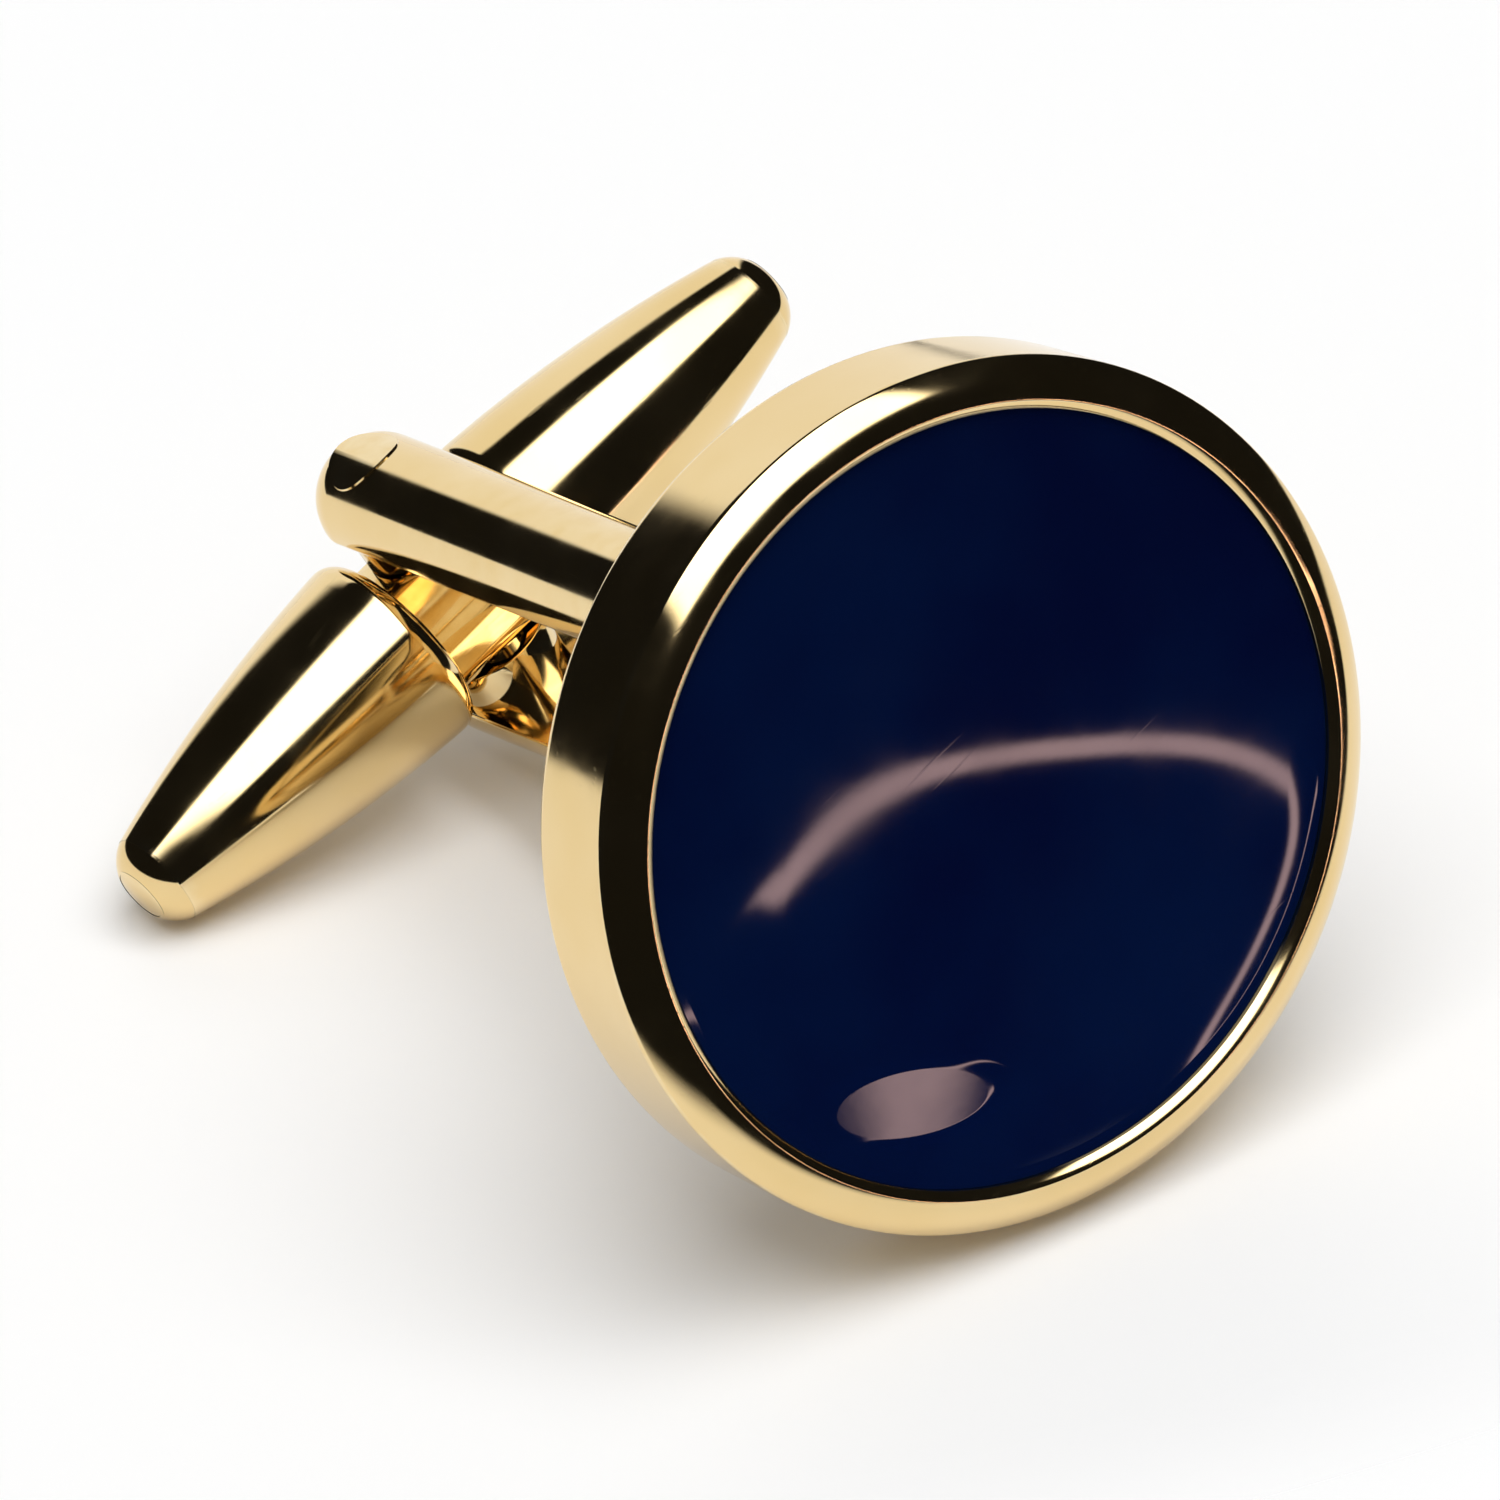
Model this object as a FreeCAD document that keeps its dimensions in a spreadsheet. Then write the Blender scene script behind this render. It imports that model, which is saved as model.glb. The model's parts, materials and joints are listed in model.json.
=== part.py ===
import FreeCAD, Part
import math
import os
import Sketcher

# Round enamelled cufflink with a bullet toggle that swivels in a two-armed fork.
#
# Frame: millimetres, +Z up. The origin is the middle of the head's back, the face that lies on the cuff.
# The enamelled face looks towards -Y and the fork runs out along +Y. The toggle lies along X when it is
# open, and the pivot pin runs along Z, through the fork's two arms.

DIMENSIONS = [
    ("head_diameter", 18.0, "outside of the head at the end of its front rounding"),
    ("head_depth", 3.1, "crest of the rim to the back of the head"),
    ("rim_width", 1.05, "outside of the head to the edge of the enamel"),
    ("rim_rounding", 0.8, "outer rounding of the rim"),
    ("lip_bevel", 0.2, "bevel at the inner edge of the rim, beside the enamel"),
    ("wall_draft", 0.15, "how far the side wall draws in from front to back"),
    ("recess_depth", 1.1, "crest of the rim to the floor under the enamel"),
    ("back_rim_width", 1.35, "back edge of the cup around the back plate"),
    ("back_bevel", 0.3, "bevel at the cup's back edge"),
    ("plate_thickness", 1.2, "back plate"),
    ("plate_bevel", 0.15, "bevel around the back plate"),
    ("inlay_sink", 0.25, "crest of the rim to the enamel's surface"),
    ("seat_clearance", 0.01, "radial gap of soldered, pressed and cemented seats"),
    ("tenon_diameter", 2.6, "tenon of the fork in the back plate"),
    ("foot_margin", 0.6, "how far the fork's foot stands out around its arms"),
    ("foot_thickness", 0.8, "foot of the fork on the back plate"),
    ("foot_bevel", 0.3, "bevel at the upper edge of the foot"),
    ("arm_width", 2.7, "half-round arm of the fork along X, twice its round's radius"),
    ("arm_flank", 0.1, "straight side of an arm below its round"),
    ("arm_edge", 0.08, "bevel of an arm's inner edges"),
    ("arm_end_offset", 0.45, "pin to the centre of an arm's rounded end"),
    ("pivot_reach", 17.4, "back of the head to the pivot pin"),
    ("swing_clearance", 0.1, "gap between the folded toggle and the inner face of an arm"),
    ("boss_margin", 0.18, "how far a pivot boss stays inside the arm's sides"),
    ("pin_diameter", 1.6, "pivot pin"),
    ("pin_flat_width", 1.28, "across the flats of the pin's square middle"),
    ("pin_flat_length", 1.6, "length of the square middle"),
    ("rivet_rise", 0.04, "how far the riveted pin stands above the arm's round"),
    ("pivot_clearance", 0.05, "running gap of the toggle on its pin and between the bosses"),
    ("toggle_length", 18.6, "toggle from tip to tip"),
    ("toggle_diameter", 4.5, "thickest girth of the toggle's outline"),
    ("toggle_arc", 33.0, "radius of the toggle's long outline"),
    ("tip_crown", 0.2, "height of the blunt crown on a tip"),
    ("tip_rounding", 0.5, "rounding between a tip's crown and its flank"),
    ("shoulder_rounding", 0.45, "rounding of a cap's shoulder beside the neck"),
    ("neck_diameter", 3.2, "neck of the toggle"),
    ("neck_height", 2.9, "neck of the toggle across its two flats"),
    ("neck_length", 3.0, "neck of the toggle between the caps' shoulders"),
    ("spigot_diameter", 3.0, "spigots that carry the caps"),
    ("spigot_length", 2.2, "depth of a spigot in its cap"),
    ("slot_height", 1.3, "spring slot along Z"),
    ("spring_thickness", 0.18, "strip of the detent spring"),
    ("spring_height", 1.2, "width of that strip along Z"),
    ("spring_clearance", 0.02, "gap between a leaf and the flat that it bears on"),
    ("leaf_lift_room", 0.02, "gap left beside a leaf that a corner of the pin has pushed out"),
]

# Sizes that follow from the sheet, as expressions.
HEAD_RADIUS = "dims.head_diameter / 2"
BACK_RADIUS = f"({HEAD_RADIUS} - dims.wall_draft)"
RECESS_RADIUS = f"({HEAD_RADIUS} - dims.rim_width)"
PLATE_SEAT_RADIUS = f"({BACK_RADIUS} - dims.back_rim_width)"
FLOOR_FRONT = "(dims.recess_depth - dims.head_depth)"
ARM_HALF_WIDTH = "dims.arm_width / 2"
ARM_INSIDE = "(dims.toggle_diameter / 2 + dims.swing_clearance)"
ARM_FLANK_TOP = f"({ARM_INSIDE} + dims.arm_flank)"
ARM_TOP = f"({ARM_FLANK_TOP} + {ARM_HALF_WIDTH})"
ARM_END_CENTRE = "(dims.pivot_reach + dims.arm_end_offset)"
BOSS_INSIDE = "(dims.neck_height / 2 + dims.pivot_clearance)"
BOSS_RADIUS = f"({ARM_HALF_WIDTH} - dims.boss_margin)"
PIN_RADIUS = "dims.pin_diameter / 2"
PIN_CUT = "(0.6 * dims.pin_diameter)"
RIVET_ROUND = f"({ARM_HALF_WIDTH} + dims.rivet_rise)"
RIVET_EDGE = f"({ARM_FLANK_TOP} + sqrt({RIVET_ROUND}^2 - {PIN_CUT}^2))"
NECK_END = "dims.neck_length / 2"
SPIGOT_END = f"({NECK_END} + dims.spigot_length)"
TIP = "dims.toggle_length / 2"
CROWN_START = f"({TIP} - dims.tip_crown)"
LEAF_INSIDE = "(dims.pin_flat_width / 2 + dims.spring_clearance)"
LEAF_OUTSIDE = f"({LEAF_INSIDE} + dims.spring_thickness)"
SLOT_HALF_WIDTH = f"({PIN_RADIUS} + dims.spring_thickness + dims.leaf_lift_room)"

HALF_CIRCLE = "half circle"


def toggle_radius(distance):
    """Give the expression for the toggle's radius at a distance from its middle, on its long outline."""
    return f"(dims.toggle_diameter / 2 - dims.toggle_arc + sqrt(dims.toggle_arc^2 - ({distance})^2))"


doc = FreeCAD.newDocument("cufflink")
sheet = doc.addObject("Spreadsheet::Sheet", "dims")


def fill_sheet():
    """Write every driving dimension with its name, its value and its meaning."""
    for row, (alias, value, meaning) in enumerate(DIMENSIONS, start=1):
        sheet.set(f"A{row}", alias)
        sheet.set(f"B{row}", str(value))
        sheet.set(f"C{row}", meaning)
        sheet.setAlias(f"B{row}", alias)
    doc.recompute()


def number(expression):
    """Work out an expression with the sheet's values."""
    return float(sheet.evalExpression(expression))


def new_body(label, reach=None):
    """Start a piece. A reach moves it out along Y."""
    body = doc.addObject("PartDesign::Body", label)
    body.Label = label
    if reach:
        body.setExpression("Placement.Base.y", reach)
    return body


def origin_plane(body, role):
    """Find one of a body's own origin planes."""
    return next(feature for feature in body.Origin.OriginFeatures if feature.Role == role)


def new_sketch(body, name, role, offset=None):
    """Start a sketch on one of the body's origin planes, moved along the plane's normal by an offset."""
    sketch = body.newObject("Sketcher::SketchObject", name)
    sketch.AttachmentSupport = [(origin_plane(body, role), "")]
    sketch.MapMode = "FlatFace"
    if offset:
        sketch.setExpression("AttachmentOffset.Base.z", offset)
    return sketch


def bind(sketch, constraint, expression):
    """Add a constraint whose value follows an expression."""
    index = sketch.addConstraint(constraint)
    sketch.setExpression(f"Constraints[{index}]", expression)


def place_point(sketch, geometry, point, corner):
    """Hold a point of a sketch where two expressions put it."""
    for kind, expression, axis in (("DistanceX", corner[0], -2), ("DistanceY", corner[1], -1)):
        if expression == "0":
            sketch.addConstraint(Sketcher.Constraint("PointOnObject", geometry, point, axis))
        else:
            bind(sketch, Sketcher.Constraint(kind, geometry, point, number(expression)), expression)


def arc_between(start, end, radius, turn):
    """Make an arc from start to end, with its centre to the left of that way for turn 1, right for -1."""
    chord = end - start
    to_left = FreeCAD.Vector(-chord.y, chord.x, 0).normalize()
    rise = math.sqrt(max(radius**2 - (chord.Length / 2) ** 2, 0.0))
    centre = (start + end) * 0.5 + to_left * (turn * rise)
    angles = [math.atan2(point.y - centre.y, point.x - centre.x) for point in (start, end)]
    circle = Part.Circle(centre, FreeCAD.Vector(0, 0, 1), radius)
    if turn > 0:
        return Part.ArcOfCircle(circle, angles[0], angles[1])
    return Part.ArcOfCircle(circle, angles[1], angles[0])


def hold_centre(sketch, geometry, start, end):
    """Hold the centre of a half circle level with its two ends, on the line between them."""
    if start[0] == end[0]:
        bind(sketch, Sketcher.Constraint("DistanceX", geometry, 3, number(start[0])), start[0])
    else:
        bind(sketch, Sketcher.Constraint("DistanceY", geometry, 3, number(start[1])), start[1])


def add_outline(sketch, corners, arcs=None):
    """Add a closed outline through corners given as pairs of expressions.

    arcs maps the number of a corner to the radius and turn of the arc that leaves it. The radius is an
    expression, or HALF_CIRCLE.
    """
    arcs = arcs or {}
    points = [FreeCAD.Vector(number(x), number(y), 0) for x, y in corners]
    pieces = []
    for place, start in enumerate(points):
        end = points[(place + 1) % len(points)]
        if place in arcs:
            radius, turn = arcs[place]
            half_chord = (end - start).Length / 2
            size = half_chord if radius == HALF_CIRCLE else number(radius)
            geometry = sketch.addGeometry(arc_between(start, end, size, turn), False)
            if radius == HALF_CIRCLE:
                hold_centre(sketch, geometry, corners[place], corners[(place + 1) % len(corners)])
            else:
                bind(sketch, Sketcher.Constraint("Radius", geometry, size), radius)
            pieces.append((geometry, 1, 2) if turn > 0 else (geometry, 2, 1))
        else:
            pieces.append((sketch.addGeometry(Part.LineSegment(start, end), False), 1, 2))
    for place, (geometry, first, last) in enumerate(pieces):
        following = pieces[(place + 1) % len(pieces)]
        sketch.addConstraint(Sketcher.Constraint("Coincident", geometry, last, following[0], following[1]))
        place_point(sketch, geometry, first, corners[place])


def add_circle(sketch, radius, centre=("0", "0")):
    """Add a circle with its radius and centre given as expressions."""
    middle = FreeCAD.Vector(number(centre[0]), number(centre[1]), 0)
    circle = Part.Circle(middle, FreeCAD.Vector(0, 0, 1), number(radius))
    geometry = sketch.addGeometry(circle, False)
    bind(sketch, Sketcher.Constraint("Radius", geometry, number(radius)), radius)
    place_point(sketch, geometry, 3, centre)


def rectangle(half_width, low, high):
    """Give the corners of a rectangle centred across and running from low to high."""
    return [(f"-{half_width}", low), (half_width, low), (half_width, high), (f"-{half_width}", high)]


def pad(body, name, sketch, length, reverse=False, both_ways=False):
    """Pad a sketch by a length, along its normal, against it or evenly both ways."""
    feature = body.newObject("PartDesign::Pad", name)
    feature.Profile = sketch
    feature.setExpression("Length", length)
    feature.Reversed = reverse
    feature.Midplane = both_ways
    return feature


def pocket(body, name, sketch, length=None):
    """Cut a sketch out evenly both ways, right through where no length is given."""
    doc.recompute()
    before = body.Shape.Volume
    feature = body.newObject("PartDesign::Pocket", name)
    feature.Profile = sketch
    feature.Midplane = True
    if length:
        feature.setExpression("Length", length)
    else:
        feature.Type = "ThroughAll"
    doc.recompute()
    if body.Shape.Volume >= before:
        raise RuntimeError(f"{name} cuts nothing")
    return feature


def revolve(body, name, sketch, axis):
    """Turn a sketch all the way round one of its own axes."""
    feature = body.newObject("PartDesign::Revolution", name)
    feature.Profile = sketch
    feature.ReferenceAxis = (sketch, [axis])
    feature.Angle = 360
    return feature


def edges_where(body, wanted):
    """List the names of the edges of a body's present shape that pass a test."""
    doc.recompute()
    local = body.Shape.copy()
    local.Placement = FreeCAD.Placement()
    return [f"Edge{place}" for place, edge in enumerate(local.Edges, start=1) if wanted(edge)]


def soften(body, name, wanted, size, kind="Fillet"):
    """Fillet or chamfer the edges of a body that pass a test."""
    names = edges_where(body, wanted)
    if not names:
        raise RuntimeError(f"{name} finds no edge")
    base = body.Tip
    feature = body.newObject(f"PartDesign::{kind}", name)
    feature.Base = (base, names)
    feature.setExpression("Radius" if kind == "Fillet" else "Size", size)
    doc.recompute()
    return feature


def near(first, second):
    """Tell whether two lengths agree."""
    return abs(first - second) < 1e-4


def is_ring(edge, axis, radius, height):
    """Tell whether an edge is a full circle of a radius, square to an axis at a height along it."""
    if edge.Degenerated or not edge.Closed or not isinstance(edge.Curve, Part.Circle):
        return False
    return near(edge.Curve.Radius, radius) and near(getattr(edge.Curve.Center, axis), height)


def build_bezel_cup():
    """Turn the cup: rounded rim, side wall, recess for the enamel and seat for the back plate."""
    body = new_body("bezel_cup")
    profile = new_sketch(body, "cup_profile", "XY_Plane")
    seat = f"({PLATE_SEAT_RADIUS} + dims.seat_clearance)"
    corners = [
        ("0", FLOOR_FRONT),
        (RECESS_RADIUS, FLOOR_FRONT),
        (RECESS_RADIUS, "-dims.head_depth"),
        (HEAD_RADIUS, "-dims.head_depth"),
        (BACK_RADIUS, "0"),
        (seat, "0"),
        (seat, "-dims.plate_thickness"),
        ("0", "-dims.plate_thickness"),
    ]
    add_outline(profile, corners)
    revolve(body, "cup_turned", profile, "V_Axis")
    front = -number("dims.head_depth")
    outer = number(HEAD_RADIUS)
    inner = number(RECESS_RADIUS)
    back = number(BACK_RADIUS)
    rim = "min(dims.rim_rounding; 0.77 * dims.rim_width)"
    lip = "min(dims.lip_bevel; 0.2 * dims.rim_width)"
    soften(body, "rim_round", lambda edge: is_ring(edge, "y", outer, front), rim)
    soften(body, "lip_edge", lambda edge: is_ring(edge, "y", inner, front), lip, "Chamfer")
    soften(body, "back_edge", lambda edge: is_ring(edge, "y", back, 0.0), "dims.back_bevel", "Chamfer")
    return body


def build_enamel_inlay():
    """Make the enamel: a disc on the floor of the recess, its surface just below the rim's crest."""
    body = new_body("enamel_inlay")
    disc = new_sketch(body, "inlay_outline", "XZ_Plane", f"-{FLOOR_FRONT}")
    add_circle(disc, f"({RECESS_RADIUS} - dims.seat_clearance)")
    pad(body, "inlay_disc", disc, "dims.recess_depth - dims.inlay_sink")
    return body


def build_back_plate():
    """Make the back plate: a disc with a hole for the fork's tenon."""
    body = new_body("back_plate")
    disc = new_sketch(body, "plate_outline", "XZ_Plane")
    add_circle(disc, PLATE_SEAT_RADIUS)
    pad(body, "plate_disc", disc, "dims.plate_thickness")
    hole = new_sketch(body, "tenon_hole_outline", "XZ_Plane")
    add_circle(hole, "(dims.tenon_diameter / 2 + dims.seat_clearance)")
    pocket(body, "tenon_hole", hole)
    outer = number(PLATE_SEAT_RADIUS)
    soften(body, "plate_edge", lambda edge: is_ring(edge, "y", outer, 0.0), "dims.plate_bevel", "Chamfer")
    return body


def add_fork_foot(body):
    """Add the fork's foot, an oblong pad on the back plate, and the tenon under it."""
    half_width = f"({ARM_HALF_WIDTH} + dims.foot_margin)"
    end = f"({ARM_TOP} + dims.foot_margin - {half_width})"
    foot = new_sketch(body, "foot_outline", "XZ_Plane")
    add_outline(foot, rectangle(half_width, f"-{end}", end), {0: (HALF_CIRCLE, 1), 2: (HALF_CIRCLE, 1)})
    pad(body, "foot", foot, "dims.foot_thickness", reverse=True)
    tenon = new_sketch(body, "tenon_outline", "XZ_Plane")
    add_circle(tenon, "dims.tenon_diameter / 2")
    pad(body, "tenon", tenon, "dims.plate_thickness")


def add_fork_arms(body):
    """Add the two half-round arms with their rounded ends and pivot bosses, one the mirror of the other."""
    section = new_sketch(body, "arm_section", "XZ_Plane")
    corners = rectangle(ARM_HALF_WIDTH, ARM_INSIDE, ARM_FLANK_TOP)
    add_outline(section, corners, {2: (HALF_CIRCLE, 1)})
    arm = pad(body, "arm", section, ARM_END_CENTRE, reverse=True)
    half = new_sketch(body, "arm_end_section", "XZ_Plane", f"-{ARM_END_CENTRE}")
    half_corners = [
        ("0", ARM_INSIDE),
        (ARM_HALF_WIDTH, ARM_INSIDE),
        (ARM_HALF_WIDTH, ARM_FLANK_TOP),
        ("0", ARM_TOP),
    ]
    add_outline(half, half_corners, {2: (ARM_HALF_WIDTH, 1)})
    arm_end = revolve(body, "arm_end", half, "V_Axis")
    boss_outline = new_sketch(body, "boss_outline", "XY_Plane", BOSS_INSIDE)
    add_circle(boss_outline, BOSS_RADIUS, ("0", "dims.pivot_reach"))
    boss = pad(body, "pivot_boss", boss_outline, f"{ARM_FLANK_TOP} - {BOSS_INSIDE}")
    doc.recompute()
    mirrored = body.newObject("PartDesign::Mirrored", "second_arm")
    mirrored.Originals = [arm, arm_end, boss]
    mirrored.MirrorPlane = (origin_plane(body, "XY_Plane"), [""])
    body.Tip = mirrored


def build_fork():
    """Make the fork: foot, tenon, two arms, pivot bosses and the bore for the pin."""
    body = new_body("fork")
    add_fork_foot(body)
    add_fork_arms(body)
    bore = new_sketch(body, "pin_bore_outline", "XY_Plane")
    add_circle(bore, PIN_RADIUS, ("0", "dims.pivot_reach"))
    pocket(body, "pin_bore", bore)
    thickness = number("dims.foot_thickness")
    arm_limit = number(ARM_HALF_WIDTH)
    arm_top = number(ARM_TOP)
    inside = number(ARM_INSIDE)

    def on_foot(edge):
        """Tell whether an edge lies in the upper face of the foot."""
        return near(edge.BoundBox.YMin, thickness) and near(edge.BoundBox.YMax, thickness)

    def at_arm(edge):
        """Tell whether an edge lies within the outline of an arm, seen along the post."""
        middle = edge.CenterOfMass
        return abs(middle.x) < arm_limit + 1e-3 and abs(middle.z) < arm_top + 1e-3

    def on_arm_edge(edge):
        """Tell whether an edge runs along the inner edge of an arm."""
        box = edge.BoundBox
        level = near(abs(box.ZMin), inside) and near(box.ZMin, box.ZMax)
        outermost = near(abs(edge.CenterOfMass.x), arm_limit) or near(box.XLength, 2 * arm_limit)
        return level and outermost and not on_foot(edge)

    edge_size = "min(dims.arm_edge; 0.9 * dims.arm_flank; 0.8 * dims.boss_margin)"
    foot_size = "min(dims.foot_bevel; 0.5 * dims.foot_margin; 0.6 * dims.foot_thickness)"
    soften(body, "arm_edges", on_arm_edge, edge_size, "Chamfer")
    soften(body, "foot_edge", lambda edge: on_foot(edge) and not at_arm(edge), foot_size, "Chamfer")
    return body


def build_pivot_pin():
    """Make the pivot pin: a riveted pin with a square middle, its ends dressed to the arms' round."""
    body = new_body("pivot_pin", "dims.pivot_reach")
    shank = new_sketch(body, "pin_outline", "XY_Plane")
    add_circle(shank, PIN_RADIUS)
    pad(body, "pin_shank", shank, f"2 * ({ARM_TOP} + 2 * dims.rivet_rise)", both_ways=True)
    square = new_sketch(body, "square_outline", "XY_Plane")
    half_flat = "(dims.pin_flat_width / 2)"
    add_circle(square, "dims.pin_diameter")
    add_outline(square, rectangle(half_flat, f"-{half_flat}", half_flat))
    pocket(body, "pin_square", square, "dims.pin_flat_length")
    dressing = new_sketch(body, "rivet_outline", "XZ_Plane")
    beyond = f"({ARM_TOP} + dims.pin_diameter)"
    above = [(f"-{PIN_CUT}", RIVET_EDGE), (PIN_CUT, RIVET_EDGE), (PIN_CUT, beyond), (f"-{PIN_CUT}", beyond)]
    below = [(x, f"-{z}") for x, z in above]
    add_outline(dressing, above, {0: (RIVET_ROUND, -1)})
    add_outline(dressing, below, {0: (RIVET_ROUND, 1)})
    pocket(body, "rivet_ends", dressing)
    return body


def build_toggle_core():
    """Make the toggle's core: the neck on the pin, a spigot at each end and the slot for the spring."""
    body = new_body("toggle_core", "dims.pivot_reach")
    neck = new_sketch(body, "neck_outline", "YZ_Plane")
    add_circle(neck, "dims.neck_diameter / 2")
    pad(body, "neck", neck, "dims.neck_length", both_ways=True)
    spigots = new_sketch(body, "spigot_outline", "YZ_Plane")
    add_circle(spigots, "dims.spigot_diameter / 2")
    pad(body, "spigots", spigots, f"2 * {SPIGOT_END}", both_ways=True)
    flats = new_sketch(body, "neck_flat_outline", "XZ_Plane")
    level = "dims.neck_height / 2"
    clear = "dims.neck_diameter"
    add_outline(flats, rectangle(NECK_END, level, clear))
    add_outline(flats, rectangle(NECK_END, f"-{clear}", f"-{level}"))
    pocket(body, "neck_flats", flats)
    slot = new_sketch(body, "slot_outline", "YZ_Plane")
    add_outline(slot, rectangle(SLOT_HALF_WIDTH, "-dims.slot_height / 2", "dims.slot_height / 2"))
    pocket(body, "spring_slot", slot)
    bore = new_sketch(body, "pivot_bore_outline", "XY_Plane")
    add_circle(bore, f"({PIN_RADIUS} + dims.pivot_clearance)")
    pocket(body, "pivot_bore", bore)
    return body


def build_toggle_cap(label, turn_degrees):
    """Turn one bullet-shaped cap of the toggle, with a blind bore for its spigot."""
    body = new_body(label, "dims.pivot_reach")
    body.Placement.Rotation = FreeCAD.Rotation(FreeCAD.Vector(0, 0, 1), turn_degrees)
    profile = new_sketch(body, f"{label}_profile", "XY_Plane")
    bore = "(dims.spigot_diameter / 2 + dims.seat_clearance)"
    shoulder = toggle_radius(NECK_END)
    crown_edge = toggle_radius(CROWN_START)
    crown_radius = f"(({crown_edge}^2 + dims.tip_crown^2) / (2 * dims.tip_crown))"
    corners = [
        (SPIGOT_END, "0"),
        (TIP, "0"),
        (CROWN_START, crown_edge),
        (NECK_END, shoulder),
        (NECK_END, bore),
        (SPIGOT_END, bore),
    ]
    add_outline(profile, corners, {1: (crown_radius, 1), 2: ("dims.toggle_arc", 1)})
    revolve(body, f"{label}_turned", profile, "H_Axis")
    shoulder_place = number(NECK_END)
    shoulder_radius = number(shoulder)
    tip_place = number(CROWN_START)
    tip_radius = number(crown_edge)
    wall = f"({shoulder} - {bore})"

    def on_shoulder(edge):
        """Tell whether an edge is the outer edge of the shoulder."""
        return is_ring(edge, "x", shoulder_radius, shoulder_place)

    def on_tip(edge):
        """Tell whether an edge is where the tip's crown meets its flank."""
        return is_ring(edge, "x", tip_radius, tip_place)

    soften(body, f"{label}_shoulder", on_shoulder, f"min(dims.shoulder_rounding; 0.7 * {wall})")
    soften(body, f"{label}_tip", on_tip, f"min(dims.tip_rounding; 0.6 * {crown_edge})")
    return body


def build_detent_spring():
    """Make the detent spring: a strip folded like a hairpin, whose leaves grip the pin's square."""
    body = new_body("detent_spring", "dims.pivot_reach")
    strip = new_sketch(body, "spring_outline", "XY_Plane")
    fold = f"({LEAF_OUTSIDE} - {SPIGOT_END})"
    corners = [
        (SPIGOT_END, LEAF_INSIDE),
        (SPIGOT_END, LEAF_OUTSIDE),
        (fold, LEAF_OUTSIDE),
        (fold, f"-{LEAF_OUTSIDE}"),
        (SPIGOT_END, f"-{LEAF_OUTSIDE}"),
        (SPIGOT_END, f"-{LEAF_INSIDE}"),
        (fold, f"-{LEAF_INSIDE}"),
        (fold, LEAF_INSIDE),
    ]
    add_outline(strip, corners, {2: (HALF_CIRCLE, 1), 6: (HALF_CIRCLE, -1)})
    pad(body, "spring_strip", strip, "dims.spring_height", both_ways=True)
    return body


def check_and_export(pieces):
    """Stop on any failed object or unsound shape, then write one file for each piece."""
    doc.recompute()
    for item in doc.Objects:
        if "Invalid" in item.State or "Error" in item.State:
            raise RuntimeError(f"{item.Label} failed: {item.State}")
    for piece in pieces:
        shape = piece.Shape
        if shape.isNull() or not shape.isValid() or len(shape.Solids) != 1:
            raise RuntimeError(f"{piece.Label} is not one sound solid")
    os.makedirs("parts", exist_ok=True)
    for piece in pieces:
        piece.Shape.exportStep(f"parts/{piece.Label}.step")
        print(f"{piece.Label}: {piece.Shape.Volume:.3f} mm3")


fill_sheet()
check_and_export(
    [
        build_bezel_cup(),
        build_enamel_inlay(),
        build_back_plate(),
        build_fork(),
        build_pivot_pin(),
        build_toggle_core(),
        build_toggle_cap("toggle_cap_right", 0),
        build_toggle_cap("toggle_cap_left", 180),
        build_detent_spring(),
    ]
)
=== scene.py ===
"""Looks of a round enamelled cufflink: its pieces, finishes, white card, light and camera."""
import json
import logging
import math
from dataclasses import dataclass, field
from enum import Enum
from typing import Callable

import bmesh
import bpy
from bpy.types import Material, Mesh, Node, NodeSocket, NodeTree, Object
from mathutils import Matrix, Vector

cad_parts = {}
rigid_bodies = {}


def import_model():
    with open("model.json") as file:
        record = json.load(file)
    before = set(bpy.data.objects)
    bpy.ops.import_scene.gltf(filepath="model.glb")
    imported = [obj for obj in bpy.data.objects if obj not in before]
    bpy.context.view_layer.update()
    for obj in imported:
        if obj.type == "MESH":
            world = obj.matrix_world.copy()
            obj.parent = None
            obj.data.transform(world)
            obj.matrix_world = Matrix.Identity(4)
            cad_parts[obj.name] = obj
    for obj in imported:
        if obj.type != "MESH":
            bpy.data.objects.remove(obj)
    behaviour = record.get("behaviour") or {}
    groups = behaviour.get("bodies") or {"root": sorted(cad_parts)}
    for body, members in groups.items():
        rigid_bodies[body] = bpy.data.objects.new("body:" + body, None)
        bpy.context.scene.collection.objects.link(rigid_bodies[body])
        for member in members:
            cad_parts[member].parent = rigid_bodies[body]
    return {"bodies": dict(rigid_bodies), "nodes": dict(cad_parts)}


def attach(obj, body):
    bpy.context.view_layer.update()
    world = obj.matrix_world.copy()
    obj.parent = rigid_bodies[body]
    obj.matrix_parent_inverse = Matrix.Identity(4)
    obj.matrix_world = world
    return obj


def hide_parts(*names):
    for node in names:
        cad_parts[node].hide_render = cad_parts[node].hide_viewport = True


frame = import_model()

LOG = logging.getLogger("cufflink")
MM = 0.001
# In millimetres: how closely places agree, how short a sliver is, how close to a cutting plane a
# point is on it, how far a test reaches past an outline and how far a cutter stands out of work.
NEAR = 1e-3
SLIVER = 2e-4
ON_PLANE = 1e-5
REACH = 0.05
OVERCUT = 1.0
SMOOTH_DEGREES = 35.0

Point = tuple[float, float, float]
Spot = tuple[float, float]
Colour = tuple[float, float, float]
SocketValue = NodeSocket | float | tuple[float, ...] | Vector
Setting = str | bool | int | float | tuple | Object | NodeTree


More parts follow.
